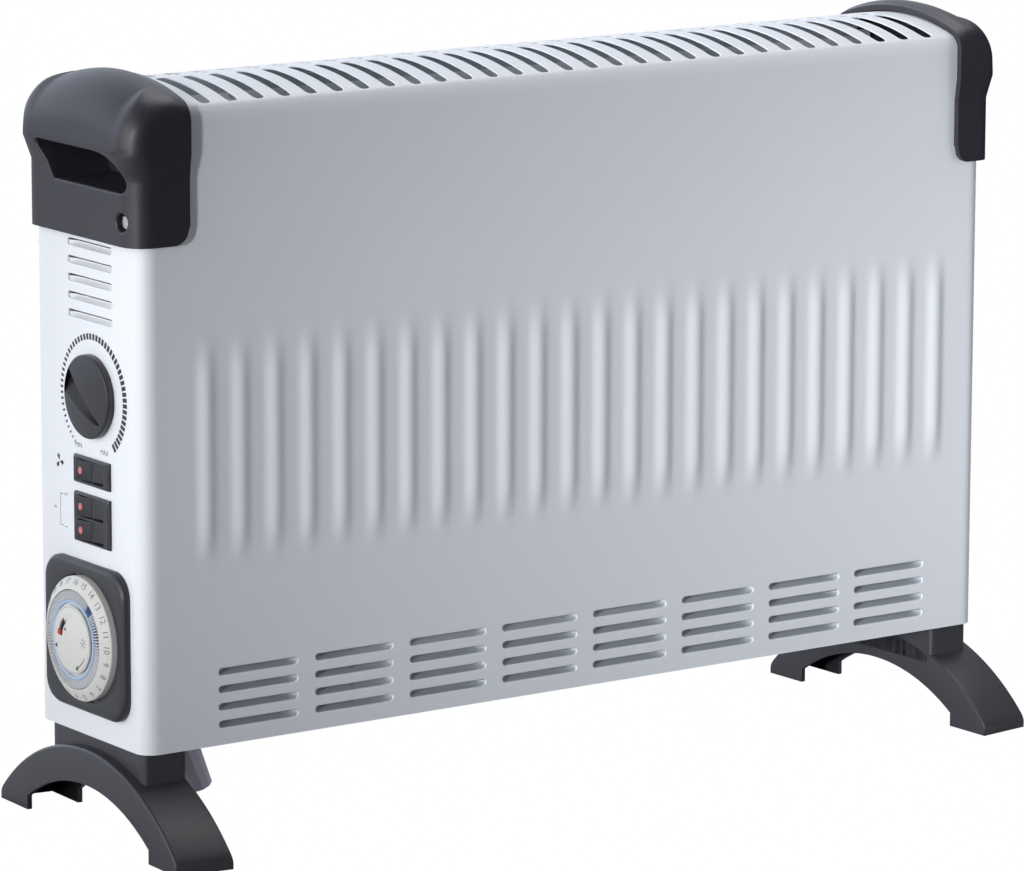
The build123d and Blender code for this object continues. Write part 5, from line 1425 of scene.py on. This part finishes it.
# %% Printing on the centre disc
DISC_FACE, SIGN_GAP = 11.4, 0.02
HEAT_SIGN, HEAT_RAYS = np.array([11.6, 0.2]), 8
MARK = [(-16.4, -5.3), (-13.8, -6.6), (-13.8, -4.0)]
ARROW_TIP = [(3.9, -14.4), (6.6, -14.6), (5.4, -12.2)]
arrow_line = np.vstack([arc((0, 0), 14.7, 292, 330, 12), arc((0, 0), 14.2, 330, 292, 12)])
signs = [flat(MARK)]
for ray in range(HEAT_RAYS):
    ray_way = toward(360 * ray / HEAT_RAYS)
    signs.append(bar(HEAT_SIGN + ray_way * 1.5, HEAT_SIGN + ray_way * 2.7, 0.4))
signs += [bar(HEAT_SIGN - (0.9, 0.9), HEAT_SIGN + (0.9, 0.9), 0.5), flat(arrow_line), flat(ARROW_TIP)]
for number in range(TAPPETS):
    edge_way = toward(360 * number / TAPPETS)
    signs.append(bar(edge_way * 16.5, edge_way * 16.9, 0.35))
signs += [bar((-6.2, 7.0), (-5.0, 9.6), 0.45), flat(arc((-6.0, 4.4), 0.8, 0, 330, 9))]
disc_front = facing(TIMER_BACK, TIMER_RISE, out=DISC_FACE + SIGN_GAP)
printed("disc_print", [moved(sign, disc_front) for sign in signs], DARK_PRINT)
print("signs on the disc:", len(signs))

# %% [markdown]
# ## Printing round the knob and switches
#
# Signs on the end panel are screen printed. The wedge-shaped strokes round the knob grow longer and
# heavier from the cold to the warm end of its travel, so that the setting can be read from across a room.
# Plain level numbers, read from below upward, and a bracket stand beside the two heat switches, and a fan
# sign beside the third.

# %% Printing on the end panel
TICK_MIDDLE, TICK_OUTER, TICK_COUNT = (45.75, 174.6), 31.9, 52
TICK_START, TICK_SWEEP = 234.0, 284.0
SIGN_HEIGHT, BRACKET_WIDTH = 3.6, 0.35
WORDS = (("MIN", 60.7, 148.0, 0), ("MAX", 35.9, 147.9, 0))
LEVELS = (("2", 73.7, 120.6, 90), ("1", 73.7, 104.0, 90), ("3", 84.0, 112.6, 90))
BRACKET = [((-0.4, 8.0), (-3.2, 8.0)), ((-0.4, -8.0), (-3.2, -8.0)), ((-3.2, -8.0), (-3.2, 8.0))]
tick_place = facing(*TICK_MIDDLE)
ticks = []
for number in range(TICK_COUNT):
    share = number / (TICK_COUNT - 1)
    tick_way = toward(TICK_START - share * TICK_SWEEP)
    length, wide = 1.8 + 2.7 * share, 0.8 + 1.3 * min(2 * share, 1)
    ticks.append(moved(bar(tick_way * (TICK_OUTER - length), tick_way * TICK_OUTER, wide), tick_place))
words = [lettering(word, SIGN_HEIGHT, facing(*place)) for word, *place in WORDS + LEVELS]
words += [moved(bar(start, end, BRACKET_WIDTH), facing(76.0, 112.4)) for start, end in BRACKET]
fan_blade = np.vstack([[[0.4, 0.0]], arc((2.5, 0.9), 1.2, -70, 150, 9)])
words += [moved(flat(fan_blade), facing(79.6, 136.8, 90 + 120 * number)) for number in range(3)]
printed("end_print", ticks + words, DARK_PRINT)
print("ticks:", len(ticks), "signs:", len(words))

# %% [markdown]
# ## Everything inside
#
# Through the slots one sees the bright shield, the element and the fan. Their solids stay as they are and
# only get a finish, because the slots never show enough of them for finer meshes to matter.

# %% Finishes of the solids
SOLID_FINISHES = {
    "rear_panel": ENAMEL, "base_panel": ENAMEL, "rear_panel_screws": ZINC, "foot_screws": ZINC,
    "cap_screws": CHROME, "gland_nut": WHITE, "thermostat_shaft": STEEL, "thermostat_body": BLACK,
    "thermostat_bracket": ZINC, "timer_case": BLACK, "partition_plate": BRIGHT, "heat_shield": BRIGHT,
    "mica_boards": MICA, "low_heat_ribbon": RIBBON, "high_heat_ribbon": RIBBON, "element_posts": ZINC,
    "motor_bracket": ZINC, "motor_bracket_screws": ZINC, "fan_motor": BLACK, "fan_shaft": STEEL,
    "fan_impeller": WHITE, "overheat_cutout": CHROME, "terminal_block": WHITE,
}
for node, material in SOLID_FINISHES.items():
    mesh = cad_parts[node].data
    mesh.materials.clear()
    mesh.materials.append(material)
print("nodes with a finish:", len(SOLID_FINISHES))
